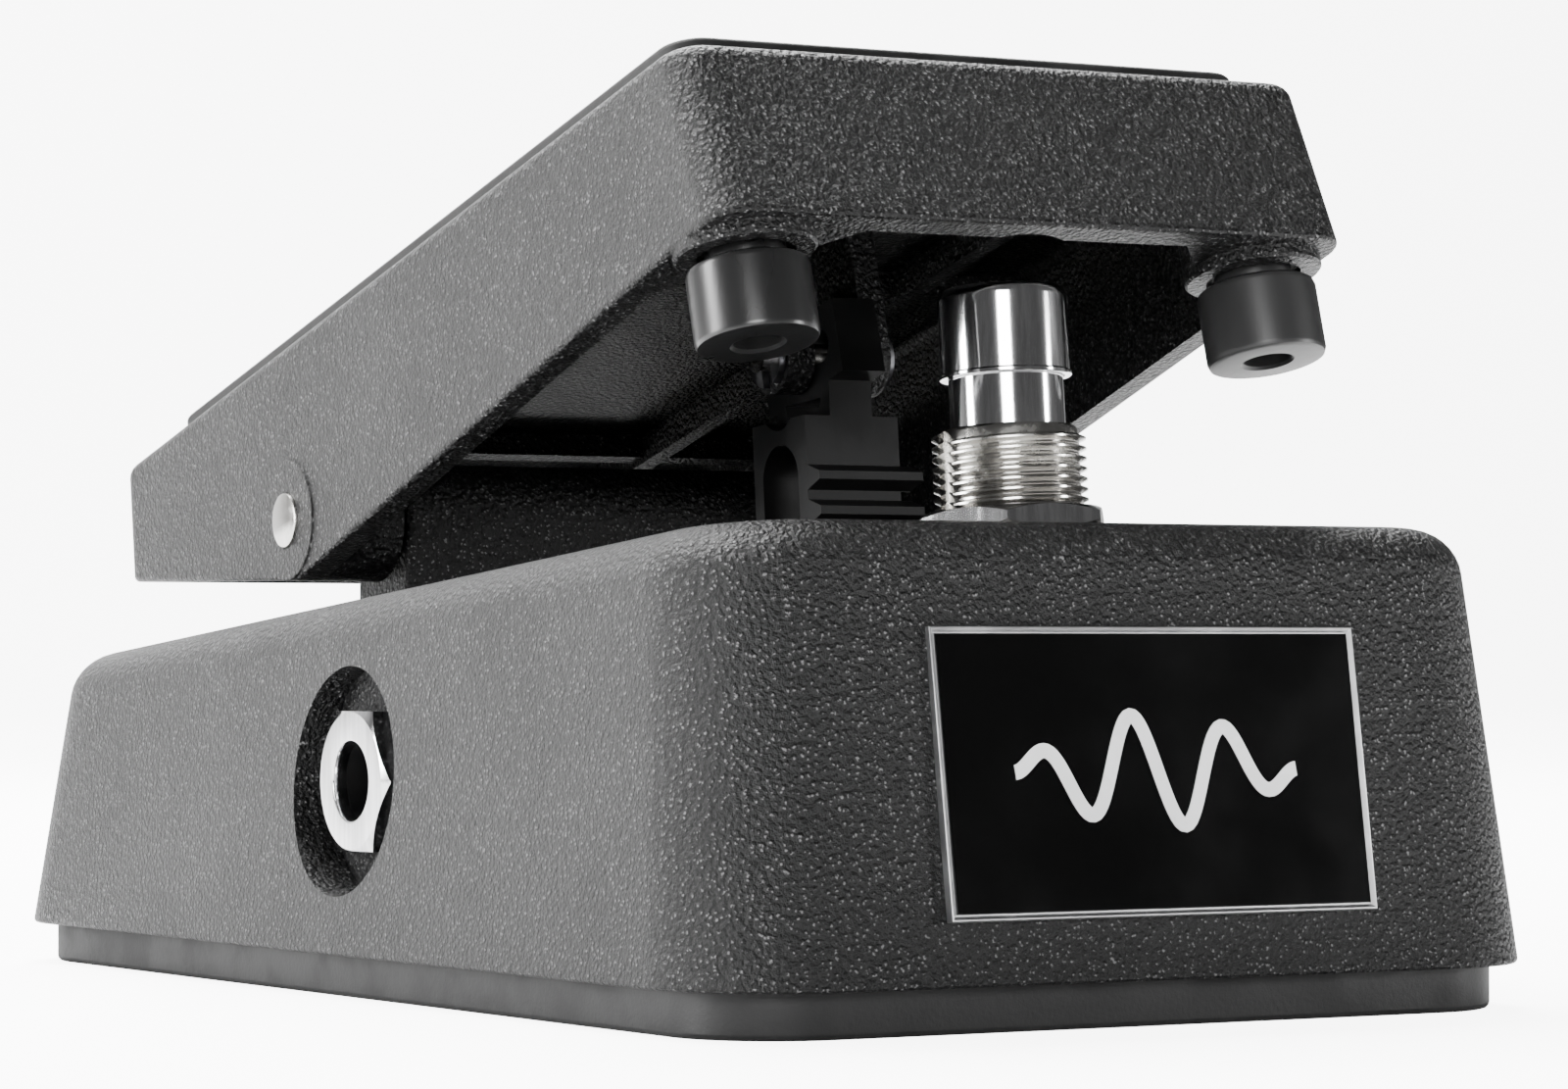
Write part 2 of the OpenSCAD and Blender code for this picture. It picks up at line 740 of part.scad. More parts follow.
module jack_nuts() {
    color("gainsboro") translate([0, jack_y, jack_z]) for (side = [-1, 1]) difference() {
        rotate([90, 0, 0]) hex_x(side * floor_x, side * (floor_x + jack_nut_t), jack_nut_af);
        bar_x(side * (floor_x - 1), side * (floor_x + 1.5), 9);
        bar_x(side * floor_x, side * (floor_x + 5), jack_bore_d);
    }
}

module jack_springs() {
    color("gold") translate([0, jack_y, jack_z]) left_and_right()
        translate([floor_x - 17.6, -1, 3.5]) rotate([0, -4, 0]) cube([7, 2, 0.4]);
}

module power_jack() {
    color("#1c1c1c") translate([0, power_y, power_z]) difference() {
        union() {
            bar_x(floor_x - 1, floor_x + 1.2, 8);
            bar_x(floor_x + 1.2, floor_x + 2.2, 10.6);
            translate([floor_x - 13, -4.5, -5.5]) cube([12, 9, 11]);
        }
        bar_x(floor_x - 9, floor_x + 5, 5.6);
    }
}

module power_jack_pin() {
    color("silver") translate([0, power_y, power_z]) bar_x(floor_x - 9, floor_x, 2.1);
}

// ---------------------------------------------------------------- electronics

module circuit_board() {
    color("darkgreen") on_panel() difference() {
        translate([-28, -9, board_low]) cube([56, 24, board_t]);
        for (x = [-24, 24], p = [-6, 11.5]) translate([x, p, board_low - 1]) cylinder(d = 2.2, h = 4, $fn = 24);
        translate([-7, -12, board_low - 1]) cube([14, 5.2, 4]);
        translate([0, hinge_y - 7.5 + 7, board_low - 1]) cylinder(d = 14, h = 4);
    }
}

module board_screws() {
    color("silver") for (x = [-24, 24], p = [-6, 11.5]) on_panel(p) translate([x, 0, 0]) {
        translate([0, 0, board_low - 0.9]) cylinder(d = 3.6, h = 0.9);
        translate([0, 0, board_low]) cylinder(d = 2, h = board_t + 2.4, $fn = 24);
    }
}

module inductor() {
    color("crimson") on_panel(-0.5) translate([3.5, 0, board_low - 9]) difference() {
        cylinder(d = 13, h = 9);
        translate([0, 0, -1]) cylinder(d = 3, h = 5);
    }
}

module capacitors() {
    color("steelblue") on_panel() {
        for (i = [0 : 2]) translate([-6.5, -5 + i * 4.2, board_low - 7]) cube([3, 3.2, 7]);
        for (x = [-18, -11]) translate([x, 10, board_low - 8]) cylinder(d = 5, h = 8);
        for (x = [12, 16]) translate([x, 8, board_low - 5]) cube([2.5, 5.5, 5]);
    }
}

module resistors() {
    color("burlywood") on_panel() for (i = [0 : 5])
        translate([-7 + i * 3.2, 6.6 + (i > 2 ? 0 : 0.2), board_low - 1.3])
            rotate([-90, 0, 0]) cylinder(d = 2, h = 5.4, $fn = 24);
}

module transistors() {
    color("#222222") on_panel() for (p = [-4, 2]) translate([-9.2, p, board_low - 5.5])
        difference() {
            cylinder(d = 4.6, h = 5.2);
            translate([-4, 1.2, -1]) cube([8, 4, 8]);
        }
}

module battery() {
    color("dimgray") translate(battery_pos) union() {
        cube(battery);
        for (s = [-1, 1])
            translate([battery.x, battery.y / 2 + s * 6.4, battery.z / 2]) bar_x(-1, 2.2, 5.6);
    }
}

module battery_snap() {
    color("#151515") translate(battery_pos + [battery.x + 0.2, battery.y / 2, battery.z / 2]) difference() {
        translate([0, -12, -6]) cube([2.8, 24, 12]);
        for (s = [-1, 1]) translate([0, s * 6.4, 0]) bar_x(-1, 2.2, 5.8);
    }
}

module battery_pad() {
    color("#303030") translate([battery_pos.x + 3, battery_pos.y + 1, plate_top])
        cube([40, 24, battery_pos.z - plate_top]);
}

// insulated leads, in world coordinates: snap, jacks, pot and footswitch to the board
wire_routes = [
    [[24.7, 45, 16], [29, 44, 19], [30, 34, 21], [28, 22, 23.2], [22, 13.9, 24]],
    [[24.7, 41, 13], [29.5, 38, 14], [31, 28, 19], [29.5, 20, 22.6], [25.4, 13.9, 23.9]],
    [[-11.2, -1, 14], [-9, 2, 13], [-9.5, 5.3, 18], [-14.5, 5.3, 24.4]],
    [[11.2, -1, 14], [9, 2, 13], [10.5, 5.3, 15], [15, 5.3, 18], [20.5, 5.3, 24.4]],
    [[11, -28.6, 13.4], [11.5, -20, 9], [15, -13, 9], [19.3, 6, 9], [19.3, 11.5, 24]],
    [[11, -32, 13.6], [11.5, -31, 7.5], [-16, -28, 7.5], [-22, 6, 8.5], [-22, 13.6, 24]],
    [[-3.6, -47.2, 14.2], [-5, -46, 8], [-20, -40, 8], [-27, -16, 8.5], [-26.6, 6, 9], [-26.6, 7, 24.2]],
    [[3.6, -47.2, 14.2], [5, -46, 8], [20, -40, 8], [26, -16, 8.5], [25, 6, 9], [25.5, 8, 24]]];

module wires() {
    color("firebrick") for (route = wire_routes) lead(route, 1.2);
}

housing();
base_plate();
rubber_base();
base_screws();
name_plate();
name_plate_inlay();
hinge_bushings();
tension_pad();
tension_screw();
tension_nut();
input_jack();
output_jack();
jack_nuts();
jack_springs();
power_jack();
power_jack_pin();
footswitch_bushing();
footswitch_case();
footswitch_nut();
footswitch_washer();
footswitch_lower_nut();
footswitch_terminals();
footswitch_spring();
pot_case();
pot_bushing();
pot_nut();
pot_terminals();
pot_bracket();
bracket_screws();
rack_guide();
circuit_board();
board_screws();
inductor();
capacitors();
resistors();
transistors();
battery();
battery_snap();
battery_pad();
wires();
treadle();
tread_mat();
hinge_pin();
bumper_left();
bumper_right();
rack_pin();
rack_pin_clips();
rack();
pinion();
pot_shaft();
plunger();
plunger_cap();
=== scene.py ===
"""Looks for the compact rocker pedal: castings, footswitch, jacks, badge, rubber and their finishes."""

import json
import math

import bmesh
import bpy
from mathutils import Matrix, Vector


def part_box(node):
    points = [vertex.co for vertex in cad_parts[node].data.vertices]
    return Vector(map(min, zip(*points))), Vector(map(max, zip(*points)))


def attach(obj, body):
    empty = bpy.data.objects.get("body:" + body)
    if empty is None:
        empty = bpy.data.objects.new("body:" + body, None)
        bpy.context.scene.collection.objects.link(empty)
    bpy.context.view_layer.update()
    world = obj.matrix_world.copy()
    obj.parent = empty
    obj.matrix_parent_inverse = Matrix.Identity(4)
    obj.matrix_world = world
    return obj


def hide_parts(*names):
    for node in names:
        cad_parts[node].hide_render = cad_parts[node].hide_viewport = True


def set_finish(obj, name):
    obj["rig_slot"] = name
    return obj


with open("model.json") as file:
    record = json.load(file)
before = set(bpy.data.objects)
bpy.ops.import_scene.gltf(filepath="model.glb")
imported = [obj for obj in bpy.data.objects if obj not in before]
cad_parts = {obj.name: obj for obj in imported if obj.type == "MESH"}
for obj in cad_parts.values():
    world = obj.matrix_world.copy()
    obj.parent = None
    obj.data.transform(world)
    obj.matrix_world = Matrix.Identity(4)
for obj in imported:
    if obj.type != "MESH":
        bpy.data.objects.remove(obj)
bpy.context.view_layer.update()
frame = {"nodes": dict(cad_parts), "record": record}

MM = 0.001
TURN = 2 * math.pi

# Shared frames of the pedal, in millimetres
PANEL_Z = 32.3
PANEL_SLOPE = math.radians(4.8)
HINGE_Y = 23.8
HINGE_Z = 39.1
TREADLE_TILT = math.radians(15.5)
HALF_W = 38.0
HALF_L = 66.5
RUBBER_H = 3.5
TOP_INSET_X = 2.6
TOP_INSET_TOE = 4.4
TOP_INSET_HEEL = 3.8
EDGE_R = 3.5
WALL = 2.5

ON_PANEL = Matrix.Translation((0, 0, PANEL_Z)) @ Matrix.Rotation(-PANEL_SLOPE, 4, "X")
ON_TREADLE = Matrix.Translation((0, HINGE_Y, HINGE_Z)) @ Matrix.Rotation(-TREADLE_TILT, 4, "X")


def panel_height(y):
    """Height of the top panel's skin above the floor at a station along the housing."""
    return PANEL_Z - y * math.tan(PANEL_SLOPE)


toe_run = TOP_INSET_TOE + EDGE_R
toe_rise = panel_height(TOP_INSET_TOE - HALF_L) - EDGE_R - RUBBER_H - 1
TOE_LEAN = math.atan(toe_run / toe_rise) - math.asin(EDGE_R / math.hypot(toe_run, toe_rise))
BADGE_GAP = 0.05
ON_TOE_FACE = (Matrix.Translation((0, -HALF_L, RUBBER_H + 1))
               @ Matrix.Rotation(math.pi / 2 - TOE_LEAN, 4, "X")
               @ Matrix.Translation((0, 0, BADGE_GAP)))


# ------------------------------------------------------------------ modelling helpers

def block(low, high):
    """A box between two corners."""
    bm = bmesh.new()
    bmesh.ops.create_cube(bm, size=1)
    low, high = Vector(low), Vector(high)
    bmesh.ops.scale(bm, vec=high - low, verts=bm.verts)
    bmesh.ops.translate(bm, vec=(low + high) / 2, verts=bm.verts)
    return bm


def outline_prism(outline, low, high, axis):
    """A flat outline pushed from low to high along X or Z."""
    bm = bmesh.new()
    verts = [bm.verts.new((low, a, b) if axis == "X" else (a, b, low)) for a, b in outline]
    face = bm.faces.new(verts)
    grown = bmesh.ops.extrude_face_region(bm, geom=[face], use_keep_orig=True)["geom"]
    push = Vector((high - low, 0, 0)) if axis == "X" else Vector((0, 0, high - low))
    bmesh.ops.translate(bm, vec=push, verts=[v for v in grown if isinstance(v, bmesh.types.BMVert)])
    bmesh.ops.recalc_face_normals(bm, faces=bm.faces)
    return bm


def rod(radius, start, end, sides=64, end_radius=None):
    """A round bar between two points."""
    bm = bmesh.new()
    start, end = Vector(start), Vector(end)
    run = end - start
    bmesh.ops.create_cone(bm, cap_ends=True, segments=sides, radius1=radius,
                          radius2=radius if end_radius is None else end_radius, depth=run.length)
    turn = Vector((0, 0, 1)).rotation_difference(run).to_matrix()
    bmesh.ops.rotate(bm, cent=(0, 0, 0), matrix=turn, verts=bm.verts)
    bmesh.ops.translate(bm, vec=(start + end) / 2, verts=bm.verts)
    return bm


def turned(profile, sides=96):
    """A closed solid turned round Z from (radius, height) points."""
    bm = bmesh.new()
    verts = [bm.verts.new((r, 0, z)) for r, z in profile]
    edges = [bm.edges.new(pair) for pair in zip(verts, verts[1:])]
    if profile[0][0] > 0:
        edges.append(bm.edges.new((verts[-1], verts[0])))
    bmesh.ops.spin(bm, geom=verts + edges, cent=(0, 0, 0), axis=(0, 0, 1), angle=TURN,
                   steps=sides, use_merge=True)
    bmesh.ops.remove_doubles(bm, verts=bm.verts, dist=1e-4)
    bmesh.ops.dissolve_degenerate(bm, edges=bm.edges, dist=1e-5)
    bmesh.ops.recalc_face_normals(bm, faces=bm.faces)
    return bm


def placed(bm, matrix):
    """The same mesh moved by a matrix."""
    bmesh.ops.transform(bm, matrix=matrix, verts=bm.verts)
    return bm


def added(*parts):
    """Several meshes as one, each still its own shell."""
    whole = parts[0]
    for part in parts[1:]:
        holder = bpy.data.meshes.new("holder")
        part.to_mesh(holder)
        part.free()
        whole.from_mesh(holder)
        bpy.data.meshes.remove(holder)
    return whole


def rounded(bm, chosen, width, segments):
    """Rounds the edges that the test picks."""
    edges = [e for e in bm.edges if chosen(e)]
    bmesh.ops.bevel(bm, geom=edges, offset=width, offset_type="OFFSET", affect="EDGES",
                    segments=segments, profile=0.5, material=-1, clamp_overlap=True)
    return bm


def work_object(bm, name):
    mesh = bpy.data.meshes.new(name)
    bm.to_mesh(mesh)
    bm.free()
    obj = bpy.data.objects.new(name, mesh)
    bpy.context.collection.objects.link(obj)
    return obj


def cut_and_joined(base, steps):
    """Runs a list of (operation, tool mesh) on a base mesh and returns the result as one mesh."""
    body = work_object(base, "casting_work")
    tools = []
    for operation, tool in steps:
        helper = work_object(tool, "tool_work")
        cut = body.modifiers.new("cut", "BOOLEAN")
        cut.operation = operation
        cut.solver = "EXACT"
        cut.object = helper
        tools.append(helper)
    result = bmesh.new()
    result.from_object(body, bpy.context.evaluated_depsgraph_get())
    for obj in [body] + tools:
        mesh = obj.data
        bpy.data.objects.remove(obj)
        bpy.data.meshes.remove(mesh)
    bmesh.ops.remove_doubles(result, verts=result.verts, dist=1e-3)
    bmesh.ops.dissolve_degenerate(result, edges=result.edges, dist=1e-4)
    return result


def along(edge, axis, share=0.9):
    """True where an edge runs mostly along an axis."""
    run = edge.verts[1].co - edge.verts[0].co
    return run.length > 0 and abs(run[axis]) / run.length > share


def show(bm, name, body, slot_name, replaced=(), place=None, crease=32, weighted=True):
    """Puts a finished mesh in the scene with its finish, on its body."""
    if place is not None:
        placed(bm, place)
    bmesh.ops.scale(bm, vec=(MM, MM, MM), verts=bm.verts)
    obj = work_object(bm, name)
    obj.data.shade_smooth()
    obj.data.set_sharp_from_angle(angle=math.radians(crease))
    if weighted:
        normals = obj.modifiers.new("even_normals", "WEIGHTED_NORMAL")
        normals.keep_sharp = True
    obj.data.materials.append(FINISHES[slot_name])
    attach(obj, body)
    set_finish(obj, slot_name)
    if replaced:
        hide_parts(*replaced)
    return obj


# ------------------------------------------------------------------ finishes

def new_group(name, inputs, outputs):
    """A shader node group with float or vector sockets and its two end nodes."""
    group = bpy.data.node_groups.new(name, "ShaderNodeTree")
    for label, kind, default in inputs:
        socket = group.interface.new_socket(name=label, in_out="INPUT", socket_type=kind)
        if default is not None:
            socket.default_value = default
    for label, kind in outputs:
        group.interface.new_socket(name=label, in_out="OUTPUT", socket_type=kind)
    return group, group.nodes.new("NodeGroupInput"), group.nodes.new("NodeGroupOutput")


def noise(tree, vector, scale, detail, roughness=0.5):
    node = tree.nodes.new("ShaderNodeTexNoise")
    node.inputs["Detail"].default_value = detail
    node.inputs["Roughness"].default_value = roughness
    tree.links.new(vector, node.inputs["Vector"])
    if isinstance(scale, (int, float)):
        node.inputs["Scale"].default_value = scale
    else:
        tree.links.new(scale, node.inputs["Scale"])
    return node.outputs["Fac"]


def maths(tree, operation, a, b=None):
    node = tree.nodes.new("ShaderNodeMath")
    node.operation = operation
    for socket, value in zip(node.inputs, (a, b)):
        if value is None:
            continue
        if isinstance(value, (int, float)):
            socket.default_value = value
        else:
            tree.links.new(value, socket)
    return node.outputs[0]


def spread(tree, value, from_low, from_high, to_low, to_high):
    node = tree.nodes.new("ShaderNodeMapRange")
    node.interpolation_type = "SMOOTHSTEP"
    for label, number in (("From Min", from_low), ("From Max", from_high),
                          ("To Min", to_low), ("To Max", to_high)):
        node.inputs[label].default_value = number
    tree.links.new(value, node.inputs["Value"])
    return node.outputs["Result"]


def crinkle_group():
    """Sprayed crinkle coat: rounded grains of two sizes; the highest grain tips form a mask for a painted highlight,
    where light caught on the grains is painted in as lighter colour.
    """
    group, start, end = new_group(
        "crinkle_coat",
        [("Vector", "NodeSocketVector", None), ("Grain Scale", "NodeSocketFloat", 2700.0)],
        [("Height", "NodeSocketFloat"), ("Painted Highlight", "NodeSocketFloat"), ("Patches", "NodeSocketFloat")])
    vector = start.outputs["Vector"]
    scale = start.outputs["Grain Scale"]
    cells = group.nodes.new("ShaderNodeTexVoronoi")
    cells.feature = "SMOOTH_F1"
    cells.inputs["Smoothness"].default_value = 0.35
    wobble = group.nodes.new("ShaderNodeTexNoise")
    wobble.inputs["Scale"].default_value = 4200.0
    wobble.inputs["Detail"].default_value = 2.0
    group.links.new(vector, wobble.inputs["Vector"])
    shift = group.nodes.new("ShaderNodeVectorMath")
    shift.operation = "MULTIPLY_ADD"
    shift.inputs[1].default_value = (0.00022, 0.00022, 0.00022)
    group.links.new(wobble.outputs["Color"], shift.inputs[0])
    group.links.new(vector, shift.inputs[2])
    group.links.new(shift.outputs["Vector"], cells.inputs["Vector"])
    group.links.new(scale, cells.inputs["Scale"])
    grains = maths(group, "SUBTRACT", 1.0, cells.outputs["Distance"])
    fine = noise(group, vector, maths(group, "MULTIPLY", scale, 2.1), 3.0, 0.6)
    broad = noise(group, vector, maths(group, "MULTIPLY", scale, 0.33), 2.0, 0.5)
    height = maths(group, "ADD", maths(group, "MULTIPLY", grains, 0.6),
                   maths(group, "ADD", maths(group, "MULTIPLY", fine, 0.5),
                         maths(group, "MULTIPLY", broad, 0.14)))
    group.links.new(height, end.inputs["Height"])
    # painted highlight mask: the highest grain tips, coloured lighter wherever a finish uses this mask
    group.links.new(spread(group, height, 0.74, 0.9, 0.0, 1.0), end.inputs["Painted Highlight"])
    group.links.new(noise(group, vector, 60.0, 3.0), end.inputs["Patches"])
    return group


def moulding_group():
    """Moulded rubber and plastic: fine stipple, faint flow marks and settled dust."""
    group, start, end = new_group(
        "moulding",
        [("Vector", "NodeSocketVector", None), ("Stipple Scale", "NodeSocketFloat", 2500.0)],
        [("Height", "NodeSocketFloat"), ("Bloom", "NodeSocketFloat"), ("Dust", "NodeSocketFloat")])
    vector = start.outputs["Vector"]
    scale = start.outputs["Stipple Scale"]
    stipple = noise(group, vector, scale, 3.0, 0.6)
    flow = noise(group, vector, maths(group, "MULTIPLY", scale, 0.06), 4.0, 0.55)
    height = maths(group, "ADD", maths(group, "MULTIPLY", stipple, 0.7), maths(group, "MULTIPLY", flow, 0.3))
    group.links.new(height, end.inputs["Height"])
    group.links.new(spread(group, flow, 0.3, 0.75, 0.0, 1.0), end.inputs["Bloom"])
    specks = noise(group, vector, maths(group, "MULTIPLY", scale, 0.8), 1.0, 0.4)
    group.links.new(spread(group, specks, 0.68, 0.78, 0.0, 1.0), end.inputs["Dust"])
    return group


def metal_group():
    """Machined and plated metal: drawn lines along one direction, with dull handling marks."""
    group, start, end = new_group(
        "machined_metal",
        [("Vector", "NodeSocketVector", None), ("Line Scale", "NodeSocketFloat", 900.0)],
        [("Height", "NodeSocketFloat"), ("Lines", "NodeSocketFloat"), ("Marks", "NodeSocketFloat")])
    vector = start.outputs["Vector"]
    lines = noise(group, vector, start.outputs["Line Scale"], 4.0, 0.65)
    marks = noise(group, vector, 240.0, 4.0, 0.6)
    group.links.new(lines, end.inputs["Height"])
    group.links.new(spread(group, lines, 0.35, 0.65, 0.0, 1.0), end.inputs["Lines"])
    group.links.new(spread(group, marks, 0.45, 0.7, 0.0, 1.0), end.inputs["Marks"])
    return group


CRINKLE = crinkle_group()
MOULDING = moulding_group()
METAL = metal_group()


def coloured(tree, factor, low, high):
    """A colour between two others, by a mask."""
    mix = tree.nodes.new("ShaderNodeMix")
    mix.data_type = "RGBA"
    mix.inputs[6].default_value = (*low, 1)
    mix.inputs[7].default_value = (*high, 1)
    tree.links.new(factor, mix.inputs[0])
    return mix.outputs[2]


def finish(name, group, scale, colours, mask, roughs, rough_mask, bump, depth,
           stretch=None, metallic=0.0, coat=0.0, specular=0.5):
    """One finish: a group's masks drive its colour, roughness and bump."""
    mat = bpy.data.materials.new(name)
    mat.use_nodes = True
    tree = mat.node_tree
    surface = tree.nodes["Principled BSDF"]
    surface.inputs["Metallic"].default_value = metallic
    surface.inputs["Coat Weight"].default_value = coat
    surface.inputs["Specular IOR Level"].default_value = specular
    vector = tree.nodes.new("ShaderNodeTexCoord").outputs["Object"]
    if stretch:
        mapping = tree.nodes.new("ShaderNodeMapping")
        mapping.inputs["Scale"].default_value = stretch
        tree.links.new(vector, mapping.inputs["Vector"])
        vector = mapping.outputs["Vector"]
    effect = tree.nodes.new("ShaderNodeGroup")
    effect.node_tree = group
    tree.links.new(vector, effect.inputs["Vector"])
    effect.inputs[1].default_value = scale
    tree.links.new(coloured(tree, effect.outputs[mask], *colours), surface.inputs["Base Color"])
    tree.links.new(spread(tree, effect.outputs[rough_mask], 0, 1, *roughs), surface.inputs["Roughness"])
    relief = tree.nodes.new("ShaderNodeBump")
    relief.inputs["Strength"].default_value = bump
    relief.inputs["Distance"].default_value = depth
    tree.links.new(effect.outputs["Height"], relief.inputs["Height"])
    tree.links.new(relief.outputs["Normal"], surface.inputs["Normal"])
    return mat


def grey(level):
    return (level, level, level * 1.01)


FINISHES = {
    # black crinkle coat whose grain tips carry a painted highlight: light grey (0.17) painted over near-black
    # (0.0015)
    "powder_coat": finish("crinkle_black_coat", CRINKLE, 2300.0, (grey(0.0015), grey(0.17)), "Painted Highlight",
                          (0.32, 0.46), "Patches", 1.0, 0.00034, specular=0.32),
    "rubber": finish("matte_black_rubber", MOULDING, 2600.0, (grey(0.008), grey(0.018)), "Bloom",
                     (0.5, 0.7), "Bloom", 0.35, 0.0001, specular=0.35),
    "bumper_rubber": finish("satin_bumper_rubber", MOULDING, 900.0, (grey(0.008), grey(0.02)), "Bloom",
                            (0.26, 0.42), "Bloom", 0.25, 0.0001, stretch=(1, 1, 0.15)),
    "steel_plate": finish("zinc_plated_sheet", METAL, 500.0, ((0.42, 0.43, 0.45), (0.62, 0.63, 0.65)), "Marks",
                          (0.28, 0.48), "Marks", 0.15, 0.00005, stretch=(1, 0.2, 1), metallic=1.0),
    "screw_steel": finish("dark_zinc", METAL, 900.0, ((0.12, 0.12, 0.13), (0.3, 0.3, 0.31)), "Marks",
                          (0.3, 0.5), "Marks", 0.2, 0.00005, metallic=1.0),
    "badge_metal": finish("bright_badge_edge", METAL, 1200.0, ((0.62, 0.62, 0.63), (0.78, 0.78, 0.79)), "Marks",
                          (0.42, 0.5), "Marks", 0.02, 0.00001, metallic=1.0),
    "badge_black": finish("gloss_badge_enamel", MOULDING, 1500.0, (grey(0.0015), grey(0.003)), "Bloom",
                          (0.1, 0.16), "Bloom", 0.02, 0.00003, specular=0.3),
    "nylon": finish("natural_nylon", MOULDING, 1800.0, ((0.55, 0.52, 0.43), (0.74, 0.71, 0.62)), "Bloom",
                    (0.4, 0.55), "Bloom", 0.2, 0.00006),
    "black_plastic": finish("satin_black_plastic", MOULDING, 1700.0, (grey(0.003), grey(0.008)), "Bloom",
                            (0.32, 0.48), "Bloom", 0.25, 0.00006, specular=0.25),
    "chrome": finish("bright_chrome", METAL, 1500.0, ((0.62, 0.62, 0.63), (0.82, 0.82, 0.83)), "Lines",
                     (0.1, 0.2), "Marks", 0.08, 0.00003, stretch=(1, 1, 0.05), metallic=1.0),
    "nickel": finish("bright_nickel", METAL, 1200.0, ((0.5, 0.49, 0.47), (0.72, 0.71, 0.68)), "Marks",
                     (0.16, 0.32), "Marks", 0.12, 0.00004, metallic=1.0),
    "brass": finish("spring_brass", METAL, 1000.0, ((0.55, 0.4, 0.16), (0.78, 0.6, 0.3)), "Marks",
                    (0.22, 0.4), "Marks", 0.12, 0.00004, stretch=(1, 0.2, 1), metallic=1.0),
    "board_green": finish("solder_mask_green", MOULDING, 1400.0, ((0.008, 0.07, 0.03), (0.015, 0.13, 0.055)),
                          "Bloom", (0.2, 0.35), "Bloom", 0.15, 0.00005),
    "coil_red": finish("dipped_red_core", MOULDING, 700.0, ((0.25, 0.015, 0.015), (0.42, 0.03, 0.025)), "Bloom",
                       (0.15, 0.3), "Bloom", 0.3, 0.0001),
    "film_blue": finish("dipped_blue_film", MOULDING, 700.0, ((0.03, 0.08, 0.24), (0.05, 0.14, 0.38)), "Bloom",
                        (0.15, 0.3), "Bloom", 0.3, 0.0001),
    "resistor_tan": finish("lacquered_tan", MOULDING, 900.0, ((0.42, 0.3, 0.17), (0.6, 0.46, 0.28)), "Bloom",
                           (0.25, 0.4), "Bloom", 0.2, 0.00008),
    "epoxy_black": finish("moulded_epoxy", MOULDING, 2600.0, (grey(0.014), grey(0.03)), "Bloom",
                          (0.45, 0.6), "Bloom", 0.3, 0.00006),
    "battery_case": finish("printed_battery_jacket", METAL, 700.0, ((0.03, 0.03, 0.035), (0.07, 0.07, 0.08)),
                           "Marks", (0.25, 0.4), "Marks", 0.08, 0.00004, stretch=(0.2, 1, 1), metallic=0.6),
    "foam": finish("closed_cell_foam", MOULDING, 1300.0, (grey(0.02), grey(0.05)), "Bloom",
                   (0.8, 0.95), "Bloom", 0.8, 0.0003),
    "wire_red": finish("wire_insulation", MOULDING, 1600.0, ((0.3, 0.015, 0.015), (0.5, 0.03, 0.03)), "Bloom",
                       (0.28, 0.4), "Bloom", 0.1, 0.00004),
}
FINISHES["badge_white"] = finish("badge_white_enamel", MOULDING, 1500.0, (grey(0.78), grey(0.9)), "Bloom",
                                 (0.22, 0.32), "Bloom", 0.02, 0.00003)

for part in frame["record"]["subparts"]:
    node = frame["nodes"][part["node"]]
    node.data.materials.clear()
    node.data.materials.append(FINISHES[part["material_slot"]])


# ------------------------------------------------------------------ housing

POST_X, POST_Y = 28.0, 53.5
JACK_Y, JACK_Z = -3.5, 17.4
POWER_Y, POWER_Z = 15.5, 15.5
POCKET_FLOOR_X = 33.3
POCKET_R = 9.25
SWITCH_P = -46.0


def wedge(inset, low, corner_r, edge_r):
    """The drafted body: a box drawn to the rim below and the sloped panel above, then rounded."""
    bm = block((-1, -1, 0), (1, 1, 1))
    for v in bm.verts:
        upper = v.co.z > 0.5
        x = HALF_W - (TOP_INSET_X if upper else 0) - inset
        toe = HALF_L - (TOP_INSET_TOE if upper else 0) - inset
        heel = HALF_L - (TOP_INSET_HEEL if upper else 0) - inset
        y = -toe if v.co.y < 0 else heel
        v.co = (math.copysign(x, v.co.x), y, panel_height(y) - inset if upper else low)
    rounded(bm, lambda e: along(e, 2, 0.8), corner_r, 14)
    bm.normal_update()
    top = max(bm.faces, key=lambda f: f.calc_center_median().z)
    ring = set(top.edges)
    rounded(bm, lambda e: e in ring, edge_r, 8)
    return bm


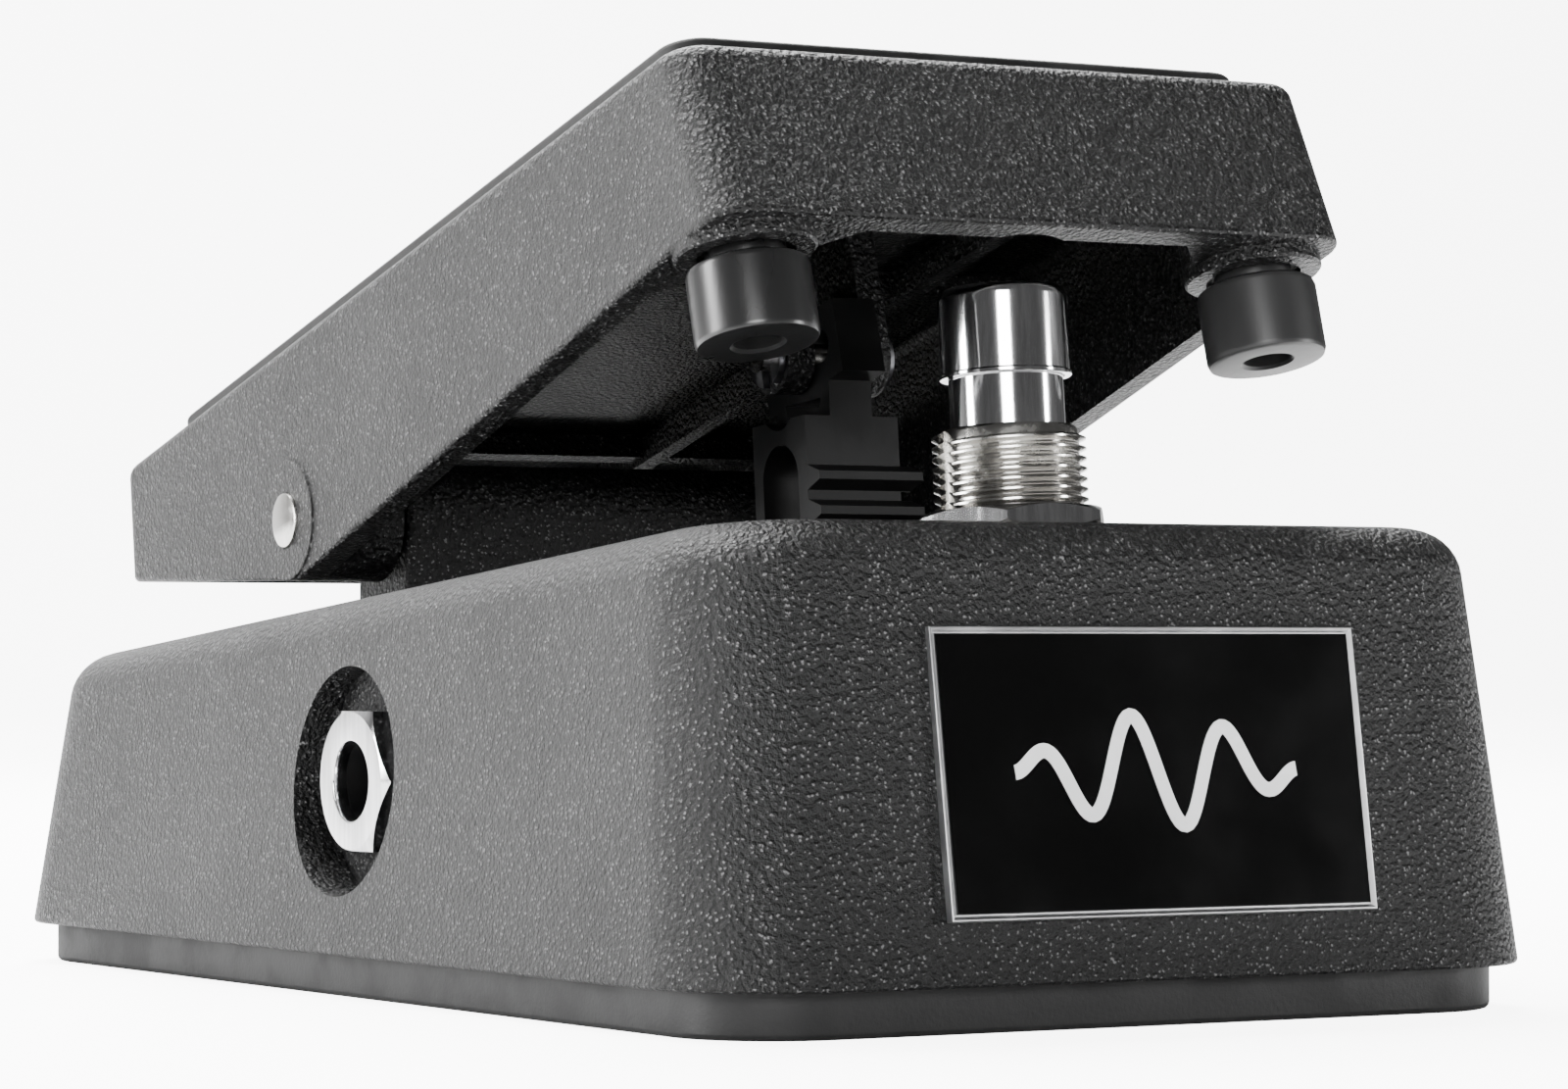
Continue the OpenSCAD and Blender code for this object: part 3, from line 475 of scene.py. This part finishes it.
def housing():
    sides = (-1, 1)
    steps = [("DIFFERENCE", wedge(WALL, RUBBER_H - 2, 8.5, 1.5))]
    for sx in sides:
        for sy in sides:
            foot = Vector((sx * POST_X, sy * POST_Y, RUBBER_H + 1.2))
            head = Vector((foot.x, foot.y, panel_height(foot.y) - 1.2))
            steps.append(("UNION", rod(3.0, foot, head, 32)))
            steps.append(("DIFFERENCE", rod(1.25, foot - Vector((0, 0, 1)), foot + Vector((0, 0, 12)), 24)))
    for x in (-24, 24):
        for p in (-6, 11.5):
            pillar = rod(2.5, (x, p, -5), (x, p, -1.2), 24)
            steps.append(("UNION", placed(pillar, ON_PANEL)))
    for side in sides:
        steps.append(("UNION", rod(POCKET_R + 2, (side * 30.9, JACK_Y, JACK_Z), (side * 34.6, JACK_Y, JACK_Z))))
    steps.append(("UNION", rod(7.5, (32.3, POWER_Y, POWER_Z), (34.9, POWER_Y, POWER_Z))))

    # hinge block with its rounded crest, and the boss under it for the tension screw
    crest = [(5 * math.cos(a), 5 * math.sin(a)) for a in (math.radians(t) for t in range(0, 181, 9))]
    crest = crest + [(-5, panel_height(HINGE_Y) - 3 - HINGE_Z), (5, panel_height(HINGE_Y) - 3 - HINGE_Z)]
    hinge_block = outline_prism(crest, -19.7, 19.7, "X")
    rounded(hinge_block, lambda e: len(e.link_faces) == 2 and not along(e, 0), 0.6, 3)
    steps.append(("UNION", placed(hinge_block, Matrix.Translation((0, HINGE_Y, HINGE_Z)))))
    steps.append(("UNION", rod(6, (0, HINGE_Y, 21), (0, HINGE_Y, panel_height(HINGE_Y) - 1))))
    steps.append(("DIFFERENCE", rod(3.0, (0, HINGE_Y, 15), (0, HINGE_Y, HINGE_Z), 48)))
    steps.append(("DIFFERENCE", rod(2.45, (-25, HINGE_Y, HINGE_Z), (25, HINGE_Y, HINGE_Z), 48)))
    for side in sides:
        seat = rod(3.5, (side * 14.7, HINGE_Y, HINGE_Z), (side * 25, HINGE_Y, HINGE_Z), 48)
        steps.append(("DIFFERENCE", seat))

    for side in sides:
        pocket = rod(POCKET_R, (side * POCKET_FLOOR_X, JACK_Y, JACK_Z), (side * 45, JACK_Y, JACK_Z), 96)
        steps.append(("DIFFERENCE", pocket))
        steps.append(("DIFFERENCE", rod(4.55, (side * 28, JACK_Y, JACK_Z), (side * 34, JACK_Y, JACK_Z))))
    steps.append(("DIFFERENCE", rod(6, (34.5, POWER_Y, POWER_Z), (45, POWER_Y, POWER_Z))))
    steps.append(("DIFFERENCE", rod(4.05, (28, POWER_Y, POWER_Z), (35, POWER_Y, POWER_Z))))
    steps.append(("DIFFERENCE", placed(rod(6.0, (0, SWITCH_P, -10), (0, SWITCH_P, 10)), ON_PANEL)))
    steps.append(("DIFFERENCE", placed(block((-6, -26.1, -6), (7.2, -13, 4)), ON_PANEL)))
    bm = cut_and_joined(wedge(0, RUBBER_H, 10.6, EDGE_R), steps)

    def pocket_lip(e):
        mid = (e.verts[0].co + e.verts[1].co) / 2
        reach = math.hypot(mid.y - JACK_Y, mid.z - JACK_Z)
        small = math.hypot(mid.y - POWER_Y, mid.z - POWER_Z)
        on_lip = abs(reach - POCKET_R) < 0.06 or (abs(small - 6) < 0.06 and mid.x > 0)
        return on_lip and abs(mid.x) > 35 and not along(e, 0, 0.7)

    rounded(bm, pocket_lip, 0.55, 4)
    lower_rim = RUBBER_H + 0.05
    rounded(bm, lambda e: all(v.co.z < lower_rim for v in e.verts) and max(
        abs(e.verts[0].co.x) - HALF_W, abs(e.verts[0].co.y) - HALF_L) > -11.5 and e.calc_face_angle(0) > 0.8
        and max(math.hypot(*v.co.xy) for v in e.verts) > 37 and outer_rim(e), 0.4, 3)
    return show(bm, "housing_casting", "pedal_base", "powder_coat", ["housing"])


def outer_rim(e):
    """True on the outer foot edge of the housing, not on the inner one."""
    mid = (e.verts[0].co + e.verts[1].co) / 2
    corner = Vector((HALF_W - 10.6, HALF_L - 10.6))
    over = Vector((max(abs(mid.x) - corner.x, 0), max(abs(mid.y) - corner.y, 0)))
    return over.length > 10.6 - 0.8


def rubber_base():
    inset = 2.1
    bm = block((inset - HALF_W, inset - HALF_L, 0), (HALF_W - inset, HALF_L - inset, RUBBER_H))
    rounded(bm, lambda e: along(e, 2), 8.9, 12)
    rounded(bm, lambda e: all(v.co.z < 0.01 for v in e.verts), 0.5, 3)
    holes = [("DIFFERENCE", rod(3.5, (sx * POST_X, sy * POST_Y, -1), (sx * POST_X, sy * POST_Y, 5), 48))
             for sx in (-1, 1) for sy in (-1, 1)]
    return show(cut_and_joined(bm, holes), "rubber_base_moulding", "pedal_base", "rubber", ["rubber_base"])


# ------------------------------------------------------------------ badge

BADGE_W, BADGE_H, BADGE_T = 37.8, 21.4, 0.8
BADGE_LOW = 8.2 - RUBBER_H - 1
BADGE_RIM = 0.5


def badge():
    plate = block((-BADGE_W / 2, BADGE_LOW, 0), (BADGE_W / 2, BADGE_LOW + BADGE_H, BADGE_T))
    rounded(plate, lambda e: all(v.co.z > BADGE_T - 0.01 for v in e.verts), 0.12, 3)
    plate.faces.ensure_lookup_table()
    face = max(plate.faces, key=lambda f: f.calc_center_median().z)
    bmesh.ops.inset_individual(plate, faces=[face], thickness=BADGE_RIM - 0.12)
    bmesh.ops.translate(plate, vec=(0, 0, -0.3), verts=face.verts)
    show(plate, "badge_frame", "pedal_base", "badge_metal", ["name_plate"], ON_TOE_FACE)

    enamel = block((BADGE_RIM - BADGE_W / 2, BADGE_LOW + BADGE_RIM, BADGE_T - 0.3),
                   (BADGE_W / 2 - BADGE_RIM, BADGE_LOW + BADGE_H - BADGE_RIM, BADGE_T - 0.1))
    rounded(enamel, lambda e: all(v.co.z > BADGE_T - 0.11 for v in e.verts), 0.08, 2)
    show(enamel, "badge_enamel", "pedal_base", "badge_black", ["name_plate_inlay"], ON_TOE_FACE)

    # plain sine ribbon, as a generic mark
    steps, half, swing = 96, 12.5, 4.2
    middle = BADGE_LOW + BADGE_H / 2

    def wave(t):
        x = (2 * t - 1) * half
        fade = math.sin(math.pi * t) ** 0.8
        return Vector((x, middle + swing * fade * math.sin(3 * TURN * t), BADGE_T - 0.1))

    ribbon = bmesh.new()
    rows = []
    for i in range(steps + 1):
        t = i / steps
        run = (wave(min(t + 0.004, 1)) - wave(max(t - 0.004, 0))).normalized()
        across = Vector((-run.y, run.x, 0)) * 0.55
        rows.append((ribbon.verts.new(wave(t) + across), ribbon.verts.new(wave(t) - across)))
    for (a, b), (c, d) in zip(rows, rows[1:]):
        ribbon.faces.new((a, b, d, c))
    grown = bmesh.ops.extrude_face_region(ribbon, geom=list(ribbon.faces), use_keep_orig=True)["geom"]
    bmesh.ops.translate(ribbon, vec=(0, 0, 0.08), verts=[v for v in grown if isinstance(v, bmesh.types.BMVert)])
    bmesh.ops.recalc_face_normals(ribbon, faces=ribbon.faces)
    show(ribbon, "badge_wave", "pedal_base", "badge_white", place=ON_TOE_FACE)
    bpy.data.objects["badge_wave"]["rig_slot"] = "badge_black"


# ------------------------------------------------------------------ treadle

HALF_TW = 28.8
FRONT_TOP = (-74.7, 14.8)
FRONT_LOW = (-77.7, 0.3)
KINK = (-0.3, -5.45)
HEEL_LOW = (35.1, 4.8)
HEEL_TOP = (33.6, 14.8)
TREAD_H = 14.8
BUMPER_X, BUMPER_U, BUMPER_LOW = 23.3, -71.2, -7.9
SIDE_VIEW = [FRONT_TOP, FRONT_LOW, KINK, HEEL_LOW, HEEL_TOP]


def treadle_block():
    """The outside of the treadle, with its rounded upright corners and top edge."""
    bm = outline_prism(SIDE_VIEW, -HALF_TW, HALF_TW, "X")

    def upright(e):
        ends = {round(v.co.y, 2) for v in e.verts}
        return ends == {FRONT_TOP[0], FRONT_LOW[0]} or ends == {HEEL_TOP[0], HEEL_LOW[0]}

    rounded(bm, upright, 3.2, 8)
    rounded(bm, lambda e: all(v.co.z > TREAD_H - 0.01 for v in e.verts), 1.1, 5)
    bm.normal_update()
    under = {f for f in bm.faces if f.normal.z < -0.9}
    rounded(bm, lambda e: len([f for f in e.link_faces if f in under]) == 1, 0.45, 3)
    return bm


def treadle():
    hollow = [(FRONT_TOP[0] + WALL, TREAD_H - WALL), (FRONT_LOW[0] + WALL, -1), (FRONT_LOW[0] + WALL, -12),
              (HEEL_LOW[0] - WALL, -12), (HEEL_LOW[0] - WALL, 4), (HEEL_TOP[0] - WALL, TREAD_H - WALL)]
    cavity = outline_prism(hollow, WALL - HALF_TW, HALF_TW - WALL, "X")
    rounded(cavity, lambda e: all(v.co.z > TREAD_H - WALL - 0.01 for v in e.verts), 1.0, 3)
    steps = [("DIFFERENCE", cavity)]

    gusset_plan = [(HALF_TW - 1, FRONT_LOW[0] + 1.5), (13.5, FRONT_LOW[0] + 1.5),
                   (17.5, -71.5), (HALF_TW - 1, -60.5)]
    slope = (KINK[1] - FRONT_LOW[1]) / (KINK[0] - FRONT_LOW[0])
    for side in (-1, 1):
        gusset = outline_prism([(side * x, u) for x, u in gusset_plan], 0, 3.2, "Z")
        for v in gusset.verts:
            v.co.z = 3 if v.co.z > 1 else FRONT_LOW[1] + slope * (v.co.y - FRONT_LOW[0]) + 0.05
        steps.append(("UNION", gusset))
        boss = turned([(0, -0.9), (5.3, -0.9), (5.5, -0.7), (5.5, 3.8), (0, 3.8)], 64)
        steps.append(("UNION", placed(boss, Matrix.Translation((side * BUMPER_X, BUMPER_U, 0)))))
        steps.append(("UNION", rod(5.2, (side * 20.2, 0, 0), (side * (HALF_TW - 1), 0, 0), 48)))
        bead = rod(5.2, (side * (HALF_TW - 1), 0, 0), (side * (HALF_TW + 0.15), 0, 0), 64)
        rounded(bead, lambda e: all(abs(v.co.x) > HALF_TW + 0.1 for v in e.verts), 0.14, 3)
        steps.append(("UNION", bead))
        low, high = sorted((side * 2.4, side * 4.8))
        steps.append(("UNION", block((low, EYE_U - 3, EYE_W), (high, EYE_U + 3, TREAD_H - WALL + 1))))
        steps.append(("UNION", rod(3, (low, EYE_U, EYE_W), (high, EYE_U, EYE_W), 48)))
        low, high = sorted((side * 14, side * 15.8))
        steps.append(("UNION", block((low, -74, TREAD_H - WALL - 2.5), (high, 32, TREAD_H - WALL + 0.5))))
    for u in (-34, 12):
        steps.append(("UNION", block((-27, u, TREAD_H - WALL - 2), (27, u + 1.8, TREAD_H - WALL + 0.5))))
    steps.append(("DIFFERENCE", rod(2.42, (-35, 0, 0), (35, 0, 0), 48)))
    steps.append(("DIFFERENCE", rod(1.27, (-8, EYE_U, EYE_W), (8, EYE_U, EYE_W), 32)))
    for side in (-1, 1):
        centre = Vector((side * BUMPER_X, BUMPER_U, 0))
        steps.append(("DIFFERENCE", rod(3.1, centre + Vector((0, 0, -5)), centre + Vector((0, 0, 3.9)), 48)))
        steps.append(("DIFFERENCE", rod(3.8, centre + Vector((0, 0, -5)), centre + Vector((0, 0, -0.4)), 64)))
    relief = Matrix.Translation((0, -69.1, 11.4)) @ Matrix.Rotation(math.radians(-6.4), 4, "X")
    steps.append(("DIFFERENCE", placed(rod(5.4, (0, 0, -16), (0, 0, 0.8)), relief)))
    bm = cut_and_joined(treadle_block(), steps)
    return show(bm, "treadle_casting", "treadle", "powder_coat", ["treadle"], ON_TREADLE)


rack_pin_low, rack_pin_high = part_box("rack_pin")
eye_world = (rack_pin_low + rack_pin_high) / 2 / MM
eye_local = ON_TREADLE.inverted() @ eye_world
EYE_U, EYE_W = eye_local.y, eye_local.z


def tread_mat():
    front, rear, half, thick = -70.6, 25.4, 26.3, 2.2
    bm = block((-half, front, TREAD_H), (half, rear, TREAD_H + thick))
    rounded(bm, lambda e: along(e, 2), 3, 8)
    rounded(bm, lambda e: all(v.co.z > TREAD_H + thick - 0.01 for v in e.verts), 0.5, 3)
    middle = (front + rear) / 2
    top = TREAD_H + thick
    grooves = []
    for i in range(-11, 12):
        u = middle + i * 4
        groove = outline_prism([(u - 0.6, top + 0.5), (u - 0.6, top - 0.45), (u - 0.35, top - 0.7),
                                (u + 0.35, top - 0.7), (u + 0.6, top - 0.45), (u + 0.6, top + 0.5)], -22, 22, "X")
        grooves.append(("DIFFERENCE", groove))
    return show(cut_and_joined(bm, grooves), "ribbed_tread_mat", "treadle", "rubber", ["tread_mat"], ON_TREADLE)


def bumpers():
    profile = [(0, 3.0), (1.9, 3.0), (1.9, 0.25), (2.15, 0), (4.2, 0), (4.6, 0.12), (4.75, 0.5), (4.75, 5.6),
               (4.62, 6.0), (4.3, 6.2), (3.3, 6.2), (3.1, 6.4), (3.1, 10.6), (2.8, 10.9), (0, 10.9)]
    for name, node, side in (("bumper_left_moulding", "bumper_left", -1),
                             ("bumper_right_moulding", "bumper_right", 1)):
        foot = Matrix.Translation((side * BUMPER_X, BUMPER_U, BUMPER_LOW))
        show(turned(profile), name, "treadle", "bumper_rubber", [node], ON_TREADLE @ foot)


def hinge_pin():
    half, r = HALF_TW + 0.45, 2.4
    profile = [(0, -half), (r - 0.35, -half), (r - 0.1, 0.1 - half), (r, 0.35 - half),
               (r, half - 0.35), (r - 0.1, half - 0.1), (r - 0.35, half), (0, half)]
    lying = Matrix.Translation((0, HINGE_Y, HINGE_Z)) @ Matrix.Rotation(math.pi / 2, 4, "Y")
    show(turned(profile, 64), "hinge_pin_ground", "treadle", "nickel", ["hinge_pin"], lying)


# ------------------------------------------------------------------ footswitch

ON_SWITCH = ON_PANEL @ Matrix.Translation((0, SWITCH_P, 0))
THREAD_PITCH = 0.79
CREST_R, ROOT_R = 5.95, 5.42
KEYWAY_HALF = 0.9


def screw_thread(low, high):
    """One open turn of thread after another, each ended at the keyway."""
    gap = math.asin(KEYWAY_HALF / CREST_R)
    sweep = TURN - 2 * gap
    steps = 60
    climb = THREAD_PITCH * sweep / TURN
    turns = []
    for i in range(int((high - low) / THREAD_PITCH)):
        z = low + i * THREAD_PITCH
        ridge = bmesh.new()
        verts = [ridge.verts.new((r, 0, z + dz)) for r, dz in
                 ((ROOT_R - 0.1, -0.37), (CREST_R, -0.07), (CREST_R, 0.07), (ROOT_R - 0.1, 0.37))]
        ring = [ridge.edges.new((a, b)) for a, b in zip(verts, verts[1:] + verts[:1])]
        bmesh.ops.rotate(ridge, cent=(0, 0, 0), matrix=Matrix.Rotation(math.pi + gap, 3, "Z"), verts=verts)
        bmesh.ops.spin(ridge, geom=verts + ring, cent=(0, 0, 0), axis=(0, 0, 1), angle=sweep, steps=steps,
                       dvec=(0, 0, climb / steps), use_merge=False)
        bmesh.ops.holes_fill(ridge, edges=[e for e in ridge.edges if e.is_boundary])
        bmesh.ops.recalc_face_normals(ridge, faces=ridge.faces)
        turns.append(ridge)
    return added(*turns)


def footswitch_bushing():
    top, low, bore = 8.6, -5.0, 4.5
    core = turned([(bore, low), (ROOT_R, low), (ROOT_R, top - 0.3),
                   (ROOT_R - 0.2, top), (bore + 0.2, top), (bore, top - 0.2)])
    slot_cut = block((-CREST_R - 1, -KEYWAY_HALF, low - 1), (-5.25, KEYWAY_HALF, top + 1))
    core = cut_and_joined(core, [("DIFFERENCE", slot_cut)])
    bm = added(core, screw_thread(low + 0.5, top - 0.35))
    show(bm, "threaded_bushing", "pedal_base", "nickel", ["footswitch_bushing"], ON_SWITCH, 40, False)


def chamfered_hex(across_flats, bore, thick, both=False):
    """A hexagonal nut with its corners turned off."""
    corner_r = across_flats / 2 / math.cos(math.pi / 6)
    bm = rod(corner_r, (0, 0, 0), (0, 0, thick), 6)
    flat_r = across_flats / 2 * 0.99
    drop = (corner_r - flat_r) * math.tan(math.radians(30)) + 0.02
    wide = corner_r + 0.2
    low_r, low_drop = (flat_r, drop) if both else (wide, 0.0)
    profile = [(0, 0), (low_r, 0), (wide, low_drop + 0.001), (wide, thick - drop), (flat_r, thick), (0, thick)]
    steps = [("INTERSECT", turned(profile, 96)),
             ("DIFFERENCE", rod(bore / 2, (0, 0, -1), (0, 0, thick + 1), 96))]
    bm = cut_and_joined(bm, steps)
    rounded(bm, lambda e: abs(math.hypot(*e.verts[0].co.xy) - bore / 2) < 0.01
            and all(v.co.z > thick - 0.01 for v in e.verts), 0.2, 2)
    return bm


def footswitch_top():
    turn = Matrix.Translation((0, 0, 0.4)) @ Matrix.Rotation(math.radians(24), 4, "Z")
    show(chamfered_hex(13.8, 11.9, 1.8, True), "footswitch_dress_nut", "pedal_base", "chrome", ["footswitch_nut"],
         ON_SWITCH @ turn, 25)
    shaft = turned([(0, -9), (4.2, -9), (4.45, -8.7), (4.45, 14.2), (4.1, 14.6), (0, 14.6)])
    show(shaft, "plunger_turned", "plunger", "chrome", ["plunger"], ON_SWITCH)
    cap = turned([(4.45, 12.75), (4.6, 12.6), (5.05, 12.6), (5.12, 12.66), (5.12, 12.86), (5.05, 12.95), (5.0, 13.0),
                  (5.0, 18.7), (4.94, 19.05), (4.76, 19.35), (4.5, 19.52), (4.2, 19.58), (2.0, 19.6), (0.01, 19.6),
                  (0.01, 14.65), (4.45, 14.65)])
    show(cap, "plunger_cap_turned", "plunger", "chrome", ["plunger_cap"], ON_SWITCH)


def footswitch_spring():
    """Round wire wound in open turns inside the switch body."""
    wire_r, coil_r, turns, per_turn = 0.4, 3.0, 5, 48
    low = -17 + 1.5 + wire_r
    high = -9 - wire_r
    coil = bmesh.new()
    made = bmesh.ops.create_circle(coil, segments=12, radius=wire_r)["verts"]
    bmesh.ops.rotate(coil, cent=(0, 0, 0), matrix=Matrix.Rotation(math.pi / 2, 3, "X"), verts=made)
    bmesh.ops.translate(coil, vec=(coil_r, 0, low), verts=made)
    bmesh.ops.spin(coil, geom=made + list(coil.edges), cent=(0, 0, 0), axis=(0, 0, 1), angle=TURN * turns,
                   steps=turns * per_turn, dvec=(0, 0, (high - low) / (turns * per_turn)), use_merge=False)
    bmesh.ops.holes_fill(coil, edges=[e for e in coil.edges if e.is_boundary])
    bmesh.ops.recalc_face_normals(coil, faces=coil.faces)
    show(coil, "return_spring", "pedal_base", "nickel", ["footswitch_spring"], ON_SWITCH)


# ------------------------------------------------------------------ jacks

def jack_nuts():
    """One piece for each side: a chamfered nut whose outer lip closes to the plug's bore."""
    parts = []
    for side in (-1, 1):
        nut = chamfered_hex(11.2, 6.4, 2.7)
        nut = cut_and_joined(nut, [("DIFFERENCE", rod(4.5, (0, 0, -1), (0, 0, 1.5), 64))])
        face_out = Matrix.Rotation(side * math.pi / 2, 4, "Y")
        parts.append(placed(nut, Matrix.Translation((side * POCKET_FLOOR_X, JACK_Y, JACK_Z)) @ face_out))
    show(added(*parts), "jack_dress_nuts", "pedal_base", "chrome", ["jack_nuts"], crease=25)


housing()
rubber_base()
badge()
treadle()
tread_mat()
bumpers()
hinge_pin()
footswitch_bushing()
footswitch_top()
footswitch_spring()
jack_nuts()


# ------------------------------------------------------------------ floor, light and camera

def paper(name, level, glow):
    """Lit paper, with an even glow that only the eye sees, so it stays pale without lighting the pedal."""
    mat = bpy.data.materials.new(name)
    mat.use_nodes = True
    tree = mat.node_tree
    surface = tree.nodes["Principled BSDF"]
    surface.inputs["Base Color"].default_value = (level, level, level, 1)
    surface.inputs["Roughness"].default_value = 0.8
    surface.inputs["Specular IOR Level"].default_value = 0.1
    surface.inputs["Emission Color"].default_value = (1, 1, 1, 1)
    seen = tree.nodes.new("ShaderNodeLightPath").outputs["Is Camera Ray"]
    tree.links.new(maths(tree, "MULTIPLY", seen, glow), surface.inputs["Emission Strength"])
    return mat


sweep_mesh = bmesh.new()
edge = [sweep_mesh.verts.new((-4, -3, 0)), sweep_mesh.verts.new((4, -3, 0))]
line = sweep_mesh.edges.new(edge)
reach = [(2.2, 0.0)] + [(2.2 + math.sin(a) * 0.8, 0.8 - math.cos(a) * 0.8)
                        for a in (math.radians(t) for t in range(10, 91, 10))] + [(3.0, 4.0)]
for y, z in reach:
    grown = bmesh.ops.extrude_edge_only(sweep_mesh, edges=[line])["geom"]
    for v in [g for g in grown if isinstance(g, bmesh.types.BMVert)]:
        v.co = (v.co.x, y, z)
    line = [g for g in grown if isinstance(g, bmesh.types.BMEdge)][0]
bmesh.ops.recalc_face_normals(sweep_mesh, faces=sweep_mesh.faces)
studio_floor = work_object(sweep_mesh, "studio_floor")
studio_floor.data.shade_smooth()
studio_floor.data.materials.append(paper("pale_paper", 0.9, 7.0))


def softbox(name, place, target, size, power):
    data = bpy.data.lights.new(name, "AREA")
    data.shape = "RECTANGLE"
    data.size, data.size_y = size
    data.energy = power
    lamp = bpy.data.objects.new(name, data)
    lamp.location = place
    lamp.rotation_euler = (Vector(target) - Vector(place)).to_track_quat("-Z", "Y").to_euler()
    bpy.context.collection.objects.link(lamp)
    return lamp


softbox("top_soft", (0.0, 0.45, 0.75), (0, 0, 0.04), (0.9, 0.5), 38)
softbox("left_strip", (-0.75, 0.25, 0.22), (0, 0, 0.04), (0.2, 0.4), 9)
softbox("right_strip", (0.6, -0.5, 0.1), (0, -0.03, 0.05), (0.1, 0.18), 2.5)
softbox("front_fill", (-0.42, -0.72, 0.26), (0, 0, 0.04), (0.3, 0.2), 5)
softbox("backdrop_wash", (0, 1.2, 1.6), (0, 2.6, 0.2), (1.5, 0.6), 90)

world = bpy.data.worlds.new("studio_world")
world.use_nodes = True
world.node_tree.nodes["Background"].inputs["Color"].default_value = (1, 1, 1, 1)
world.node_tree.nodes["Background"].inputs["Strength"].default_value = 0.1
bpy.context.scene.world = world

CAMERA_PLACE = Vector((-216.84, -378.53, 26.75)) * MM
YAW, PITCH, ROLL = math.radians(30.549), math.radians(1.323), math.radians(0.112)
forward = Vector((math.sin(YAW) * math.cos(PITCH), math.cos(YAW) * math.cos(PITCH), math.sin(PITCH)))
level_right = Vector((math.cos(YAW), -math.sin(YAW), 0))
level_down = forward.cross(level_right)
right = level_right * math.cos(ROLL) + level_down * math.sin(ROLL)
up = level_right * math.sin(ROLL) - level_down * math.cos(ROLL)
camera_data = bpy.data.cameras.new("view")
camera_data.lens = 118.53
camera_data.sensor_width = 36
camera_data.clip_start = 0.02
camera_data.clip_end = 20
camera = bpy.data.objects.new("view", camera_data)
camera.matrix_world = Matrix.Translation(CAMERA_PLACE) @ Matrix((right, up, -forward)).transposed().to_4x4()
bpy.context.collection.objects.link(camera)
bpy.context.scene.camera = camera
